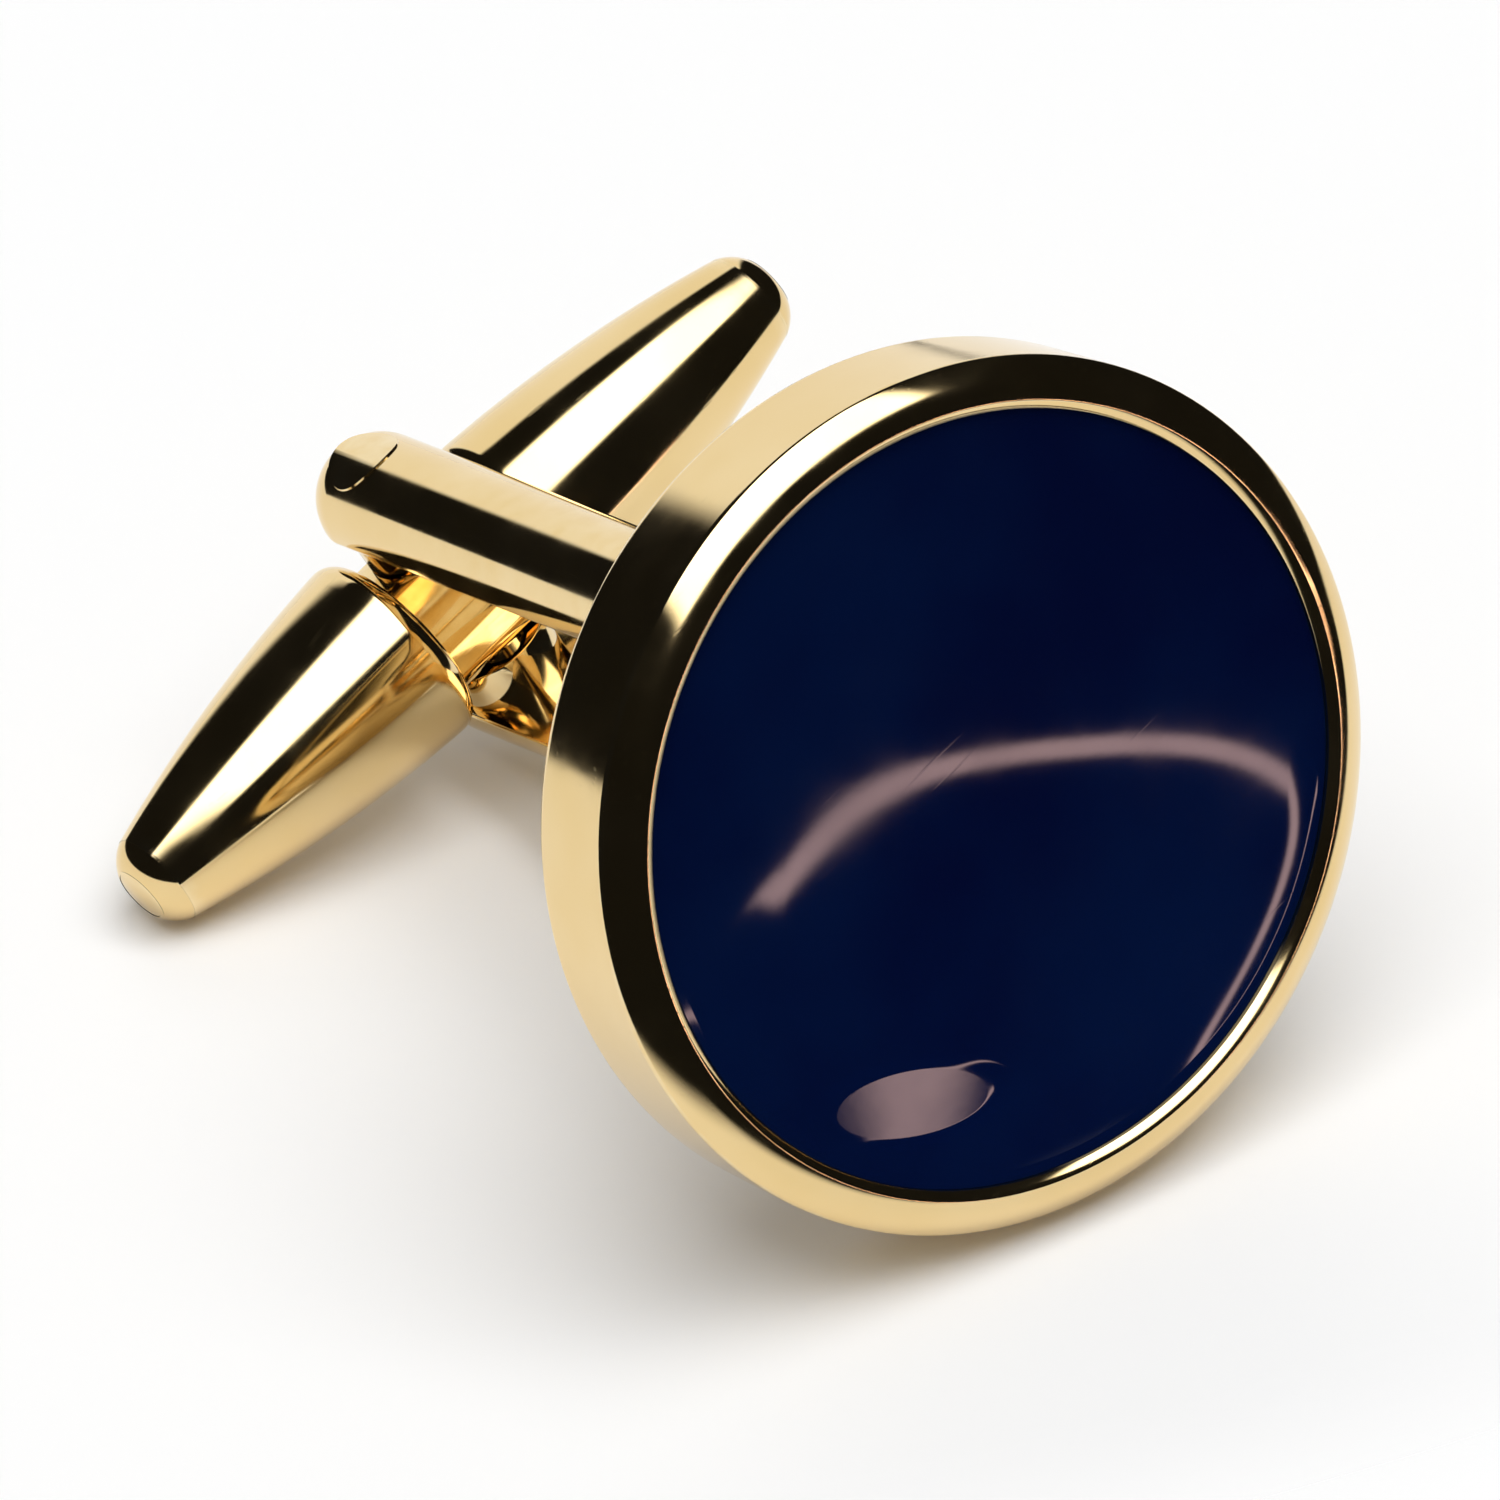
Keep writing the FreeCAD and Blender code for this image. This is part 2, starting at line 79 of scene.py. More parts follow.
class Axis(Enum):
    """Direction that a round piece lies along, as the turn that brings a primitive's axis there."""

    TOGGLE = (0.0, math.pi / 2, 0.0)
    POST = (math.pi / 2, 0.0, 0.0)
    PIN = (0.0, 0.0, 0.0)


class Pick(Enum):
    """Kind of mesh element that a tool works on."""

    POINTS = "VERT"
    EDGES = "EDGE"
    FACES = "FACE"


class Cut(Enum):
    """Way in which two workpieces are combined."""

    JOIN = "UNION"
    REMOVE = "DIFFERENCE"
    COMMON = "INTERSECT"


class Body(Enum):
    """Body of the cufflink that a piece moves with."""

    HEAD = "head"
    TOGGLE = "toggle"


def near(first: float, second: float) -> bool:
    """Tell whether two lengths in millimetres agree."""
    return abs(first - second) < NEAR


def round_post(point: Vector) -> float:
    """Give a point's distance from the head's axis."""
    return math.hypot(point.x, point.z)


def arc(centre: Spot, radius: float, start: float, end: float, steps: int) -> list[Spot]:
    """Draw an arc in a turned piece's section; its angles go from straight out to the front."""
    angles = [start + (end - start) * step / steps for step in range(steps + 1)]
    return [step_from(centre, radius, angle) for angle in angles]


def step_from(centre: Spot, step: float, angle: float) -> Spot:
    """Step from a centre at an angle, to a point of its arc or to a joining arc's centre."""
    return centre[0] + step * math.cos(angle), centre[1] - step * math.sin(angle)


def clear_selection() -> None:
    """Leave edit mode and deselect every object."""
    if bpy.context.mode != "OBJECT":
        bpy.ops.object.mode_set(mode="OBJECT")
    bpy.ops.object.select_all(action="DESELECT")


class Workpiece:
    """A mesh that is shaped with edit tools, in millimetres until it is finished."""

    def __init__(self, name: str) -> None:
        """Take the object that has just been made and put its place into its mesh.

        Args:
            name: The name that the piece gets.
        """
        self.shape = bpy.context.active_object
        self.shape.name = name
        self.shape.data.name = name
        bpy.ops.object.transform_apply(location=True, rotation=True, scale=True)

    @classmethod
    def start(
        cls, name: str, primitive: Callable[..., set[str]], **settings: Setting
    ) -> "Workpiece":
        """Start from one of Blender's primitives.

        Args:
            name: The name that the piece gets.
            primitive: The operator that adds the primitive.
            settings: The operator's settings.

        Returns:
            The new workpiece.
        """
        clear_selection()
        primitive(**settings)
        return cls(name)

    @classmethod
    def cylinder(
        cls, name: str, radius: float, length: float, centre: Point, axis: Axis, sides: int
    ) -> "Workpiece":
        """Start from a cylinder around a centre, along an axis."""
        shape = {"vertices": sides, "radius": radius, "depth": length}
        add = bpy.ops.mesh.primitive_cylinder_add
        return cls.start(name, add, location=centre, rotation=axis.value, **shape)

    @classmethod
    def ball(cls, name: str, radius: float, centre: Point, axis: Axis, sides: int) -> "Workpiece":
        """Start from a ball around a centre, with its poles on an axis."""
        shape = {"segments": sides, "ring_count": sides // 2, "radius": radius}
        add = bpy.ops.mesh.primitive_uv_sphere_add
        return cls.start(name, add, location=centre, rotation=axis.value, **shape)

    @classmethod
    def block(cls, name: str, size: Point, centre: Point) -> "Workpiece":
        """Start from a block of a size around a centre."""
        add = bpy.ops.mesh.primitive_cube_add
        return cls.start(name, add, size=1.0, location=centre, scale=size)

    @classmethod
    def line(cls, name: str, points: list[Point]) -> "Workpiece":
        """Start from a line that is drawn through points, for turning on a lathe.

        Args:
            name: The name that the piece gets.
            points: The points of the line, in order.

        Returns:
            The new workpiece.
        """
        piece = cls.start(name, bpy.ops.mesh.primitive_plane_add, size=1.0, location=points[0])
        piece.pick_all()
        bpy.ops.mesh.merge(type="CENTER")
        for before, after in zip(points, points[1:]):
            piece.extrude(Vector(after) - Vector(before))
        return piece

    def activate(self) -> None:
        """Make the piece the only selected object."""
        clear_selection()
        bpy.context.view_layer.objects.active = self.shape
        self.shape.select_set(True)

    def pick(self, what: Pick, test: Callable[[Vector], bool]) -> None:
        """Open the mesh for editing and select the elements all of whose points pass a test.

        Args:
            what: The kind of element to select.
            test: A test on a point's place.
        """
        if bpy.context.mode != "EDIT_MESH" or bpy.context.active_object is not self.shape:
            self.activate()
            bpy.ops.object.mode_set(mode="EDIT")
        bpy.ops.mesh.select_mode(type=what.value)
        bpy.ops.mesh.select_all(action="DESELECT")
        mesh = bmesh.from_edit_mesh(self.shape.data)
        if what is Pick.POINTS:
            for point in mesh.verts:
                point.select_set(test(point.co))
        else:
            for element in mesh.edges if what is Pick.EDGES else mesh.faces:
                element.select_set(all(test(point.co) for point in element.verts))
        mesh.select_flush_mode()
        bmesh.update_edit_mesh(self.shape.data)

    def pick_all(self) -> None:
        """Open the mesh for editing and select all of it."""
        self.pick(Pick.POINTS, lambda point: True)

    def move(self, by: Point) -> None:
        """Move what is selected."""
        bpy.ops.transform.translate(value=by)

    def extrude(self, by: Vector | Point) -> None:
        """Extrude what is selected."""
        bpy.ops.mesh.extrude_region_move(TRANSFORM_OT_translate={"value": tuple(by)})

    def inset(self, width: float) -> None:
        """Inset the selected faces."""
        bpy.ops.mesh.inset(thickness=width, depth=0.0, use_even_offset=True)

    def bevel(self, width: float, segments: int) -> None:
        """Round off the selected edges."""
        shape = {"offset_type": "OFFSET", "profile": 0.5, "affect": "EDGES", "clamp_overlap": False}
        bpy.ops.mesh.bevel(offset=width, segments=segments, **shape)

    def trim(self, place: Point, normal: Point) -> None:
        """Cut the mesh with a plane, drop what lies on the normal's side and close the cut."""
        self.pick_all()
        bpy.ops.mesh.bisect(
            plane_co=place, plane_no=normal, use_fill=True, clear_outer=True, threshold=ON_PLANE
        )

    def weld(self) -> None:
        """Merge points that lie on each other and turn the faces outwards."""
        self.pick_all()
        bpy.ops.mesh.remove_doubles(threshold=SLIVER)
        bpy.ops.mesh.normals_make_consistent(inside=False)

    def clean(self) -> None:
        """Merge points that lie on each other and drop faces without area."""
        self.pick_all()
        bpy.ops.mesh.remove_doubles(threshold=SLIVER)
        bpy.ops.mesh.dissolve_degenerate(threshold=SLIVER)

    def spin(self, centre: Point, axis: Point, steps: int) -> None:
        """Turn the line all the way round an axis and close the seam and the poles.

        Args:
            centre: A point on the axis.
            axis: The axis' direction.
            steps: How many steps make the full turn.
        """
        self.pick_all()
        bpy.ops.mesh.spin(steps=steps, angle=math.tau, center=centre, axis=axis)
        self.weld()

    def modify(self, kind: str, **settings: Setting) -> None:
        """Apply a modifier.

        Args:
            kind: The modifier's type.
            settings: Its settings.
        """
        self.activate()
        tool = self.shape.modifiers.new(kind.lower(), kind)
        for option, choice in settings.items():
            setattr(tool, option, choice)
        bpy.ops.object.modifier_apply(modifier=tool.name)

    def mirror(self) -> None:
        """Mirror the open mesh along the pin and close the seam."""
        self.modify("MIRROR", use_axis=(False, False, True))
        self.weld()

    def combine(self, other: "Workpiece", cut: Cut) -> None:
        """Combine the piece with another workpiece, which is used up."""
        self.modify("BOOLEAN", operation=cut.value, solver="EXACT", object=other.shape)
        bpy.data.objects.remove(other.shape)

    def copy_turned(self, name: str, centre: Point) -> "Workpiece":
        """Copy the piece with a mesh of its own, turned half round about an axis along the pin.

        Args:
            name: The copy's name.
            centre: A point on the axis.

        Returns:
            The copy.
        """
        self.activate()
        bpy.ops.object.duplicate(linked=False)
        copy = bpy.context.active_object
        copy.rotation_euler = (0.0, 0.0, math.pi)
        copy.location = (2 * centre[0], 2 * centre[1], 0.0)
        return Workpiece(name)

    def finish(self) -> Object:
        """Note how sharply each point's surface bends, bring the piece to metres and shade it.

        Returns:
            The finished object.
        """
        self.activate()
        note_edges(self.shape.data)
        self.shape.scale = (MM, MM, MM)
        bpy.ops.object.transform_apply(location=True, rotation=True, scale=True)
        bpy.ops.object.shade_smooth_by_angle(angle=math.radians(SMOOTH_DEGREES))
        self.modify("WEIGHTED_NORMAL", keep_sharp=True)
        return self.shape


def note_edges(
    mesh: Mesh, soft: float = 1.5, sharp: float = 5.0, narrow: float = 1e-3, wide: float = 0.2
) -> None:
    """Store on each point how close it is to a worn edge, from 0 on open surface to 1 on an edge.

    Args:
        mesh: The mesh, in millimetres.
        soft: The bend in radians per millimetre at which wear starts.
        sharp: The bend at which it is full.
        narrow: The least width that a bend is spread over.
        wide: The greatest width that a bend is spread over.
    """
    work = bmesh.new()
    work.from_mesh(mesh)
    wear = []
    for point in work.verts:
        bend = 0.0
        for edge in point.link_edges:
            length = edge.calc_length()
            if len(edge.link_faces) == 2 and length > 0:
                across = sum(face.calc_area() for face in edge.link_faces) / (2 * length)
                turn = abs(edge.calc_face_angle(0.0))
                bend = max(bend, turn / max(min(across, wide), narrow))
        wear.append(min(max((bend - soft) / (sharp - soft), 0.0), 1.0))
    work.free()
    layer = mesh.attributes.new("edge_wear", "FLOAT", "POINT")
    layer.data.foreach_set("value", wear)


def settle(piece: Object, node: str, body: Body, finish: Material) -> None:
    """Dress a piece, let it stand for its solid and move with its body, and report it.

    Args:
        piece: The finished piece.
        node: The solid that it stands for.
        body: The body that it moves with.
        finish: Its material.
    """
    piece.data.materials.clear()
    piece.data.materials.append(finish)
    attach(piece, body.value)
    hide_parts(node)
    LOG.info("%s stands for %s, in %s", piece.name, node, finish.name)


@dataclass
class Head:
    """The bezel shell, the enamel face in it and the plate that closes its back."""

    radius: float = 9.0
    back_radius: float = 8.85
    depth: float = 3.1
    rim_width: float = 1.05
    crown_start: float = 40.0
    crown_turn: float = 60.0
    crown_outer_radius: float = 1.7
    crown_inner_radius: float = 0.626
    crown_steps: tuple[int, int] = (8, 12)
    corner_radius: float = 0.18
    corner_steps: int = 10
    lip_width: float = 0.2
    lip_radius: float = 0.65
    lip_slopes: Spot = (117.0, 137.0)
    lip_steps: int = 6
    lip_edge: float = 0.03
    edge_steps: int = 4
    recess_depth: float = 1.1
    back_bevel: float = 0.3
    back_steps: int = 6
    seat_radius: float = 7.51
    seat_edge: float = 0.04
    enamel_radius: float = 7.94
    enamel_front: float = -2.85
    enamel_rise: float = 0.015
    enamel_rise_width: float = 0.12
    enamel_bevel_share: float = 0.9
    enamel_steps: int = 6
    plate_radius: float = 7.5
    plate_thickness: float = 1.2
    plate_bevel: float = 0.15
    plate_steps: int = 3
    tenon_hole_radius: float = 1.31
    sides: int = 192
    pieces: dict[str, Object] = field(default_factory=dict)

    def build(self) -> None:
        """Model the three pieces."""
        self.pieces["bezel_cup"] = self.build_bezel()
        self.pieces["enamel_inlay"] = self.build_enamel()
        self.pieces["back_plate"] = self.build_plate()

    def rim_line(self) -> list[Spot]:
        """Draw the rim's section from the lip over the crown and the corner to the wall's top.

        Returns:
            The section's points, as distances from the head's axis and places along the post.
        """
        lip = self.radius - self.rim_width + self.lip_width
        draft = -math.atan2(self.radius - self.back_radius, self.depth)
        start, turn = math.radians(self.crown_start), math.radians(self.crown_turn)
        inner = (lip, self.crown_inner_radius - self.depth)
        outer = step_from(inner, self.crown_inner_radius - self.crown_outer_radius, turn)
        corner = step_from(outer, self.crown_outer_radius - self.corner_radius, start)
        flat, steep = (math.radians(slope) for slope in self.lip_slopes)
        brow = (lip, self.lip_edge - self.depth)
        slant = step_from(brow, self.lip_edge - self.lip_radius, flat)
        mouth = step_from(slant, self.lip_radius - self.lip_edge, steep)
        inner_steps, outer_steps = self.crown_steps
        line = arc(mouth, self.lip_edge, math.pi, steep, self.edge_steps)
        line += arc(slant, self.lip_radius, steep, flat, self.lip_steps)[1:]
        line += arc(brow, self.lip_edge, flat, math.pi / 2, self.edge_steps)[1:]
        line += arc(inner, self.crown_inner_radius, math.pi / 2, turn, inner_steps)[1:]
        line += arc(outer, self.crown_outer_radius, turn, start, outer_steps)[1:]
        line += arc(corner, self.corner_radius, start, draft, self.corner_steps)[1:]
        return line

    def build_bezel(self) -> Object:
        """Turn the bezel: recess, slanted lip, crowned rim, drafted wall and the plate's seat.

        Returns:
            The finished piece.
        """
        floor = self.recess_depth - self.depth
        turn = math.pi / 2
        foot = (self.back_radius - self.back_bevel, -self.back_bevel)
        edge = (self.seat_radius + self.seat_edge, -self.seat_edge)
        rim = self.rim_line()
        line = [(0.0, floor), (rim[0][0], floor)]
        line += rim
        line += arc(foot, self.back_bevel, 0.0, -turn, self.back_steps)
        line += arc(edge, self.seat_edge, -turn, -math.pi, self.edge_steps)
        line += [(self.seat_radius, -self.plate_thickness), (0.0, -self.plate_thickness)]
        shell = Workpiece.line("bezel_shell", [(across, place, 0.0) for across, place in line])
        shell.spin((0.0, 0.0, 0.0), (0.0, 1.0, 0.0), self.sides)
        return shell.finish()

    def build_enamel(self) -> Object:
        """Model the enamel: a flat pool whose edge creeps up the metal.

        Returns:
            The finished piece.
        """
        front, radius = self.enamel_front, self.enamel_radius
        thickness = self.recess_depth - self.depth - front
        middle = (0.0, front + thickness / 2, 0.0)
        pool = Workpiece.cylinder("enamel_face", radius, thickness, middle, Axis.POST, self.sides)
        pool.pick(Pick.FACES, lambda point: near(point.y, front))
        pool.inset(self.enamel_rise_width)
        inner = radius - self.enamel_rise_width + REACH
        pool.pick(Pick.POINTS, lambda point: near(point.y, front) and round_post(point) < inner)
        pool.move((0.0, self.enamel_rise, 0.0))
        pool.pick(Pick.EDGES, lambda point: near(point.y, front + self.enamel_rise))
        pool.bevel(self.enamel_bevel_share * self.enamel_rise_width, self.enamel_steps)
        return pool.finish()

    def build_plate(self) -> Object:
        """Model the closing plate with its bevelled edge and the hole for the post's tenon.

        Returns:
            The finished piece.
        """
        radius, thickness, sides = self.plate_radius, self.plate_thickness, self.sides
        middle = (0.0, -thickness / 2, 0.0)
        plate = Workpiece.cylinder("closing_plate", radius, thickness, middle, Axis.POST, sides)
        for height in (0.0, -thickness):
            plate.pick(Pick.FACES, lambda point: near(point.y, height))
            plate.inset(radius - self.tenon_hole_radius)
        plate.pick(Pick.FACES, lambda point: round_post(point) < self.tenon_hole_radius + REACH)
        bpy.ops.mesh.bridge_edge_loops()
        rim = radius - REACH
        plate.pick(Pick.EDGES, lambda point: near(point.y, 0.0) and round_post(point) > rim)
        plate.bevel(self.plate_bevel, self.plate_steps)
        return plate.finish()

    def dress(self, gold: Material, enamel: Material) -> None:
        """Give each piece its finish and put it on the head's body.

        Args:
            gold: The finish of the metal.
            enamel: The finish of the face.
        """
        for node, piece in self.pieces.items():
            face = node == "enamel_inlay"
            finish, slot = (enamel, "navy_enamel") if face else (gold, "gold_plate")
            settle(piece, node, Body.HEAD, finish)


@dataclass
class Post:
    """The fork that stands on the back plate and the pin riveted through its two arms."""

    arm_radius: float = 1.35
    arm_centre: float = 2.45
    arm_inside: float = 2.35
    arm_edge: float = 0.08
    arm_steps: int = 3
    arm_end: float = 17.85
    foot_thickness: float = 0.8
    foot_radius: float = 1.95
    foot_reach: float = 2.45
    foot_bevel: float = 0.3
    foot_steps: int = 5
    tenon_radius: float = 1.3
    tenon_length: float = 1.2
    boss_radius: float = 1.17
    boss_inside: float = 1.5
    boss_edge: float = 0.04
    edge_steps: int = 2
    pivot: float = 17.4
    pin_radius: float = 0.8
    pin_square: float = 1.28
    pin_square_length: float = 1.6
    rivet_round: float = 1.39
    rivet_edge: float = 0.08
    sides: int = 96
    pieces: dict[str, Object] = field(default_factory=dict)

    def build(self) -> None:
        """Model the two pieces."""
        self.pieces["fork"] = self.build_fork()
        self.pieces["pivot_pin"] = self.build_pin()

    def build_oblong(
        self, name: str, radius: float, reach: float, low: float, high: float
    ) -> Workpiece:
        """Model an oblong pad: a round one drawn out both ways along the pin.

        Args:
            name: The name that the pad gets.
            radius: The radius of its ends.
            reach: How far its ends' centres lie from the middle.
            low: Where it starts along the post.
            high: Where it ends along the post.

        Returns:
            The pad.
        """
        middle = (0.0, (low + high) / 2, 0.0)
        pad = Workpiece.cylinder(name, radius, high - low, middle, Axis.POST, self.sides)
        pad.trim((0.0, 0.0, 0.0), (0.0, 0.0, -1.0))
        pad.pick_all()
        pad.move((0.0, 0.0, reach))
        pad.pick(Pick.FACES, lambda point: near(point.z, reach))
        pad.extrude((0.0, 0.0, -reach))
        bpy.ops.mesh.delete(type="ONLY_FACE")
        pad.mirror()
        return pad

    def build_arm(self, side: int) -> Workpiece:
        """Model one half-round arm with its rounded end and the boss beside the toggle's neck.

        Args:
            side: 1 for the upper arm, -1 for the lower one.

        Returns:
            The arm.
        """
        centre, inside = side * self.arm_centre, side * self.arm_inside
        root = self.foot_thickness / 2
        end = (0.0, self.arm_end, centre)
        arm = Workpiece.ball("arm", self.arm_radius, end, Axis.POST, self.sides)
        arm.pick(Pick.POINTS, lambda point: point.y < self.arm_end - NEAR)
        bpy.ops.mesh.delete(type="VERT")
        arm.pick(Pick.EDGES, lambda point: near(point.y, self.arm_end))
        arm.extrude((0.0, root - self.arm_end, 0.0))
        bpy.ops.mesh.fill()
        arm.trim((0.0, 0.0, centre), (0.0, 0.0, -side))
        arm.pick(Pick.FACES, lambda point: near(point.z, centre))
        arm.extrude((0.0, 0.0, side * (self.arm_inside - self.arm_centre)))
        arm.pick(Pick.EDGES, lambda point: near(point.z, inside))
        arm.bevel(self.arm_edge, self.arm_steps)
        low, high = self.boss_inside, self.arm_centre
        place = (0.0, self.pivot, side * (low + high) / 2)
        boss = Workpiece.cylinder("boss", self.boss_radius, high - low, place, Axis.PIN, self.sides)
        boss.pick(Pick.EDGES, lambda point: near(point.z, side * low))
        boss.bevel(self.boss_edge, self.edge_steps)
        arm.combine(boss, Cut.JOIN)
        return arm

    def build_fork(self) -> Object:
        """Model the fork: foot, tenon and both arms in one.

        Returns:
            The finished piece.
        """
        top = self.foot_thickness
        fork = self.build_oblong("fork_post", self.foot_radius, self.foot_reach, 0.0, top)
        fork.pick(Pick.FACES, lambda point: near(point.y, top))
        bpy.ops.mesh.dissolve_faces()
        bpy.ops.mesh.region_to_loop()
        fork.bevel(self.foot_bevel, self.foot_steps)
        length = self.tenon_length + top / 2
        place = (0.0, (top / 2 - self.tenon_length) / 2, 0.0)
        tenon = Workpiece.cylinder("tenon", self.tenon_radius, length, place, Axis.POST, self.sides)
        fork.combine(tenon, Cut.JOIN)
        for side in (1, -1):
            fork.combine(self.build_arm(side), Cut.JOIN)
        fork.clean()
        return fork.finish()

    def build_pin(self) -> Object:
        """Model the pin: a round shank with a square middle, its ends dressed to the arms' round.

        Returns:
            The finished piece.
        """
        length = 2 * (self.arm_centre + self.rivet_round) + OVERCUT
        middle = (0.0, self.pivot, 0.0)
        pin = Workpiece.cylinder("rivet_pin", self.pin_radius, length, middle, Axis.PIN, self.sides)
        low, high = self.pivot - 2 * OVERCUT, self.pivot + 2 * OVERCUT
        bar = self.build_oblong("dressing", self.rivet_round, self.arm_centre, low, high)
        pin.combine(bar, Cut.COMMON)
        pin.pick(Pick.FACES, lambda point: abs(point.z) > self.arm_centre)
        bpy.ops.mesh.region_to_loop()
        pin.bevel(self.rivet_edge, self.edge_steps)
        size, away = self.pin_radius, (self.pin_square + self.pin_radius) / 2
        for x, y in ((-1, 0), (0, -1), (1, 0), (0, 1)):
            notch = Workpiece.block(
                "notch",
                (size * (2 - abs(x)), size * (2 - abs(y)), self.pin_square_length),
                (x * away, self.pivot + y * away, 0.0),
            )
            pin.combine(notch, Cut.REMOVE)
        return pin.finish()

    def dress(self, gold: Material) -> None:
        """Give both pieces the metal's finish and put them on the head's body."""
        for node, piece in self.pieces.items():
            settle(piece, node, Body.HEAD, gold)


@dataclass
class Toggle:
    """The bullet toggle: its neck on the pin, its two halves and the spring inside."""

    pivot: float = 17.4
    neck_radius: float = 1.6
    neck_end: float = 1.5
    neck_flat: float = 1.45
    neck_sides: int = 128
    spigot_radius: float = 1.5
    spigot_end: float = 3.7
    slot_half_width: float = 1.0
    slot_height: float = 1.3
    bore_radius: float = 0.85
    bore_sides: int = 96
    seat_clearance: float = 0.01
    radius: float = 2.25
    outline_radius: float = 33.0
    outline_places: tuple[float, ...] = (2.2, 3.0, 3.8, 4.6, 5.4, 6.1, 6.8, 7.4, 8.0, 8.4, 8.75)
    crown_start: float = 9.1
    crown_shares: Point = (0.66, 0.33, 0.0)
    tip: float = 9.3
    shoulder_width: float = 0.2
    shoulder_rounding: float = 0.45
    shoulder_steps: int = 12
    tip_bevel: float = 0.42
    tip_steps: int = 8
    sides: int = 160
    pieces: dict[str, Object] = field(default_factory=dict)

    def build(self) -> None:
        """Model the neck and both halves; the spring inside keeps its solid."""
        self.pieces["toggle_core"] = self.build_neck()
        half = self.build_half()
        other = half.copy_turned("toggle_half_left", (0.0, self.pivot, 0.0))
        self.pieces["toggle_cap_right"] = half.finish()
        self.pieces["toggle_cap_left"] = other.finish()

    def outline(self, place: float) -> float:
        """Give the toggle's radius at a distance from its middle."""
        return self.radius - self.outline_radius + math.sqrt(self.outline_radius**2 - place**2)

    def away(self, point: Vector) -> float:
        """Give a point's distance from the toggle's own axis."""
        return math.hypot(point.y - self.pivot, point.z)

    def build_neck(self) -> Object:
        """Model the neck: a waist with flats for the bosses, spigots, bore and the spring's slot.

        Returns:
            The finished piece.
        """
        centre = (0.0, self.pivot, 0.0)
        sides, width = self.neck_sides, 2 * self.neck_end
        neck = Workpiece.cylinder(
            "toggle_neck", self.neck_radius, width, centre, Axis.TOGGLE, sides
        )
        for side in (1.0, -1.0):
            neck.trim((0.0, self.pivot, side * self.neck_flat), (0.0, 0.0, side))
        length = 2 * self.spigot_end
        spigots = Workpiece.cylinder(
            "spigots", self.spigot_radius, length, centre, Axis.TOGGLE, sides
        )
        for side in (1.0, -1.0):
            relief = Workpiece.block(
                "relief",
                (width, 2 * self.neck_radius, self.neck_radius),
                (0.0, self.pivot, side * (self.neck_flat + self.neck_radius / 2)),
            )
            spigots.combine(relief, Cut.REMOVE)
        neck.combine(spigots, Cut.JOIN)
        opening = (length + OVERCUT, 2 * self.slot_half_width, self.slot_height)
        neck.combine(Workpiece.block("slot", opening, centre), Cut.REMOVE)
        drill = (self.bore_radius, 2 * self.neck_radius + OVERCUT)
        bore = Workpiece.cylinder("bore", *drill, centre, Axis.PIN, self.bore_sides)
        neck.combine(bore, Cut.REMOVE)
        neck.clean()
        return neck.finish()

    def build_half(self) -> Workpiece:
        """Turn the right half: a bullet with a rounded shoulder, a crowned tip and a blind bore.

        Returns:
            The half, before it is brought to metres.
        """
        bore = self.spigot_radius + self.seat_clearance
        crown_edge = self.outline(self.crown_start)
        rise = self.tip - self.crown_start
        crown_radius = (crown_edge**2 + rise**2) / (2 * rise)
        line = [(self.spigot_end, 0.0), (self.spigot_end, bore), (self.neck_end, bore)]
        flank = (self.neck_end, *self.outline_places, self.crown_start)
        line += [(place, self.outline(place)) for place in flank]
        for share in self.crown_shares:
            across = share * crown_edge
            drop = crown_radius - math.sqrt(crown_radius**2 - across**2)
            line.append((self.tip - drop, across))
        points = [(x, self.pivot + across, 0.0) for x, across in line]
        half = Workpiece.line("toggle_half_right", points)
        half.spin((0.0, self.pivot, 0.0), (1.0, 0.0, 0.0), self.sides)
        inner = self.neck_radius + self.shoulder_width
        half.pick(
            Pick.EDGES, lambda point: near(point.x, self.neck_end) and self.away(point) > inner
        )
        half.bevel(self.shoulder_rounding, self.shoulder_steps)
        half.pick(Pick.EDGES, lambda point: near(point.x, self.crown_start))
        half.bevel(self.tip_bevel, self.tip_steps)
        return half

    def dress(self, gold: Material, steel: Material) -> None:
        """Give each piece its finish and put it on the toggle's body.

        Args:
            gold: The finish of the plated pieces.
            steel: The finish of the spring.
        """
        for node, piece in self.pieces.items():
            settle(piece, node, Body.TOGGLE, gold)
        spring = frame["nodes"]["detent_spring"]
        spring.data.materials.clear()
        spring.data.materials.append(steel)
        LOG.info("detent_spring keeps its solid, in %s", steel.name)


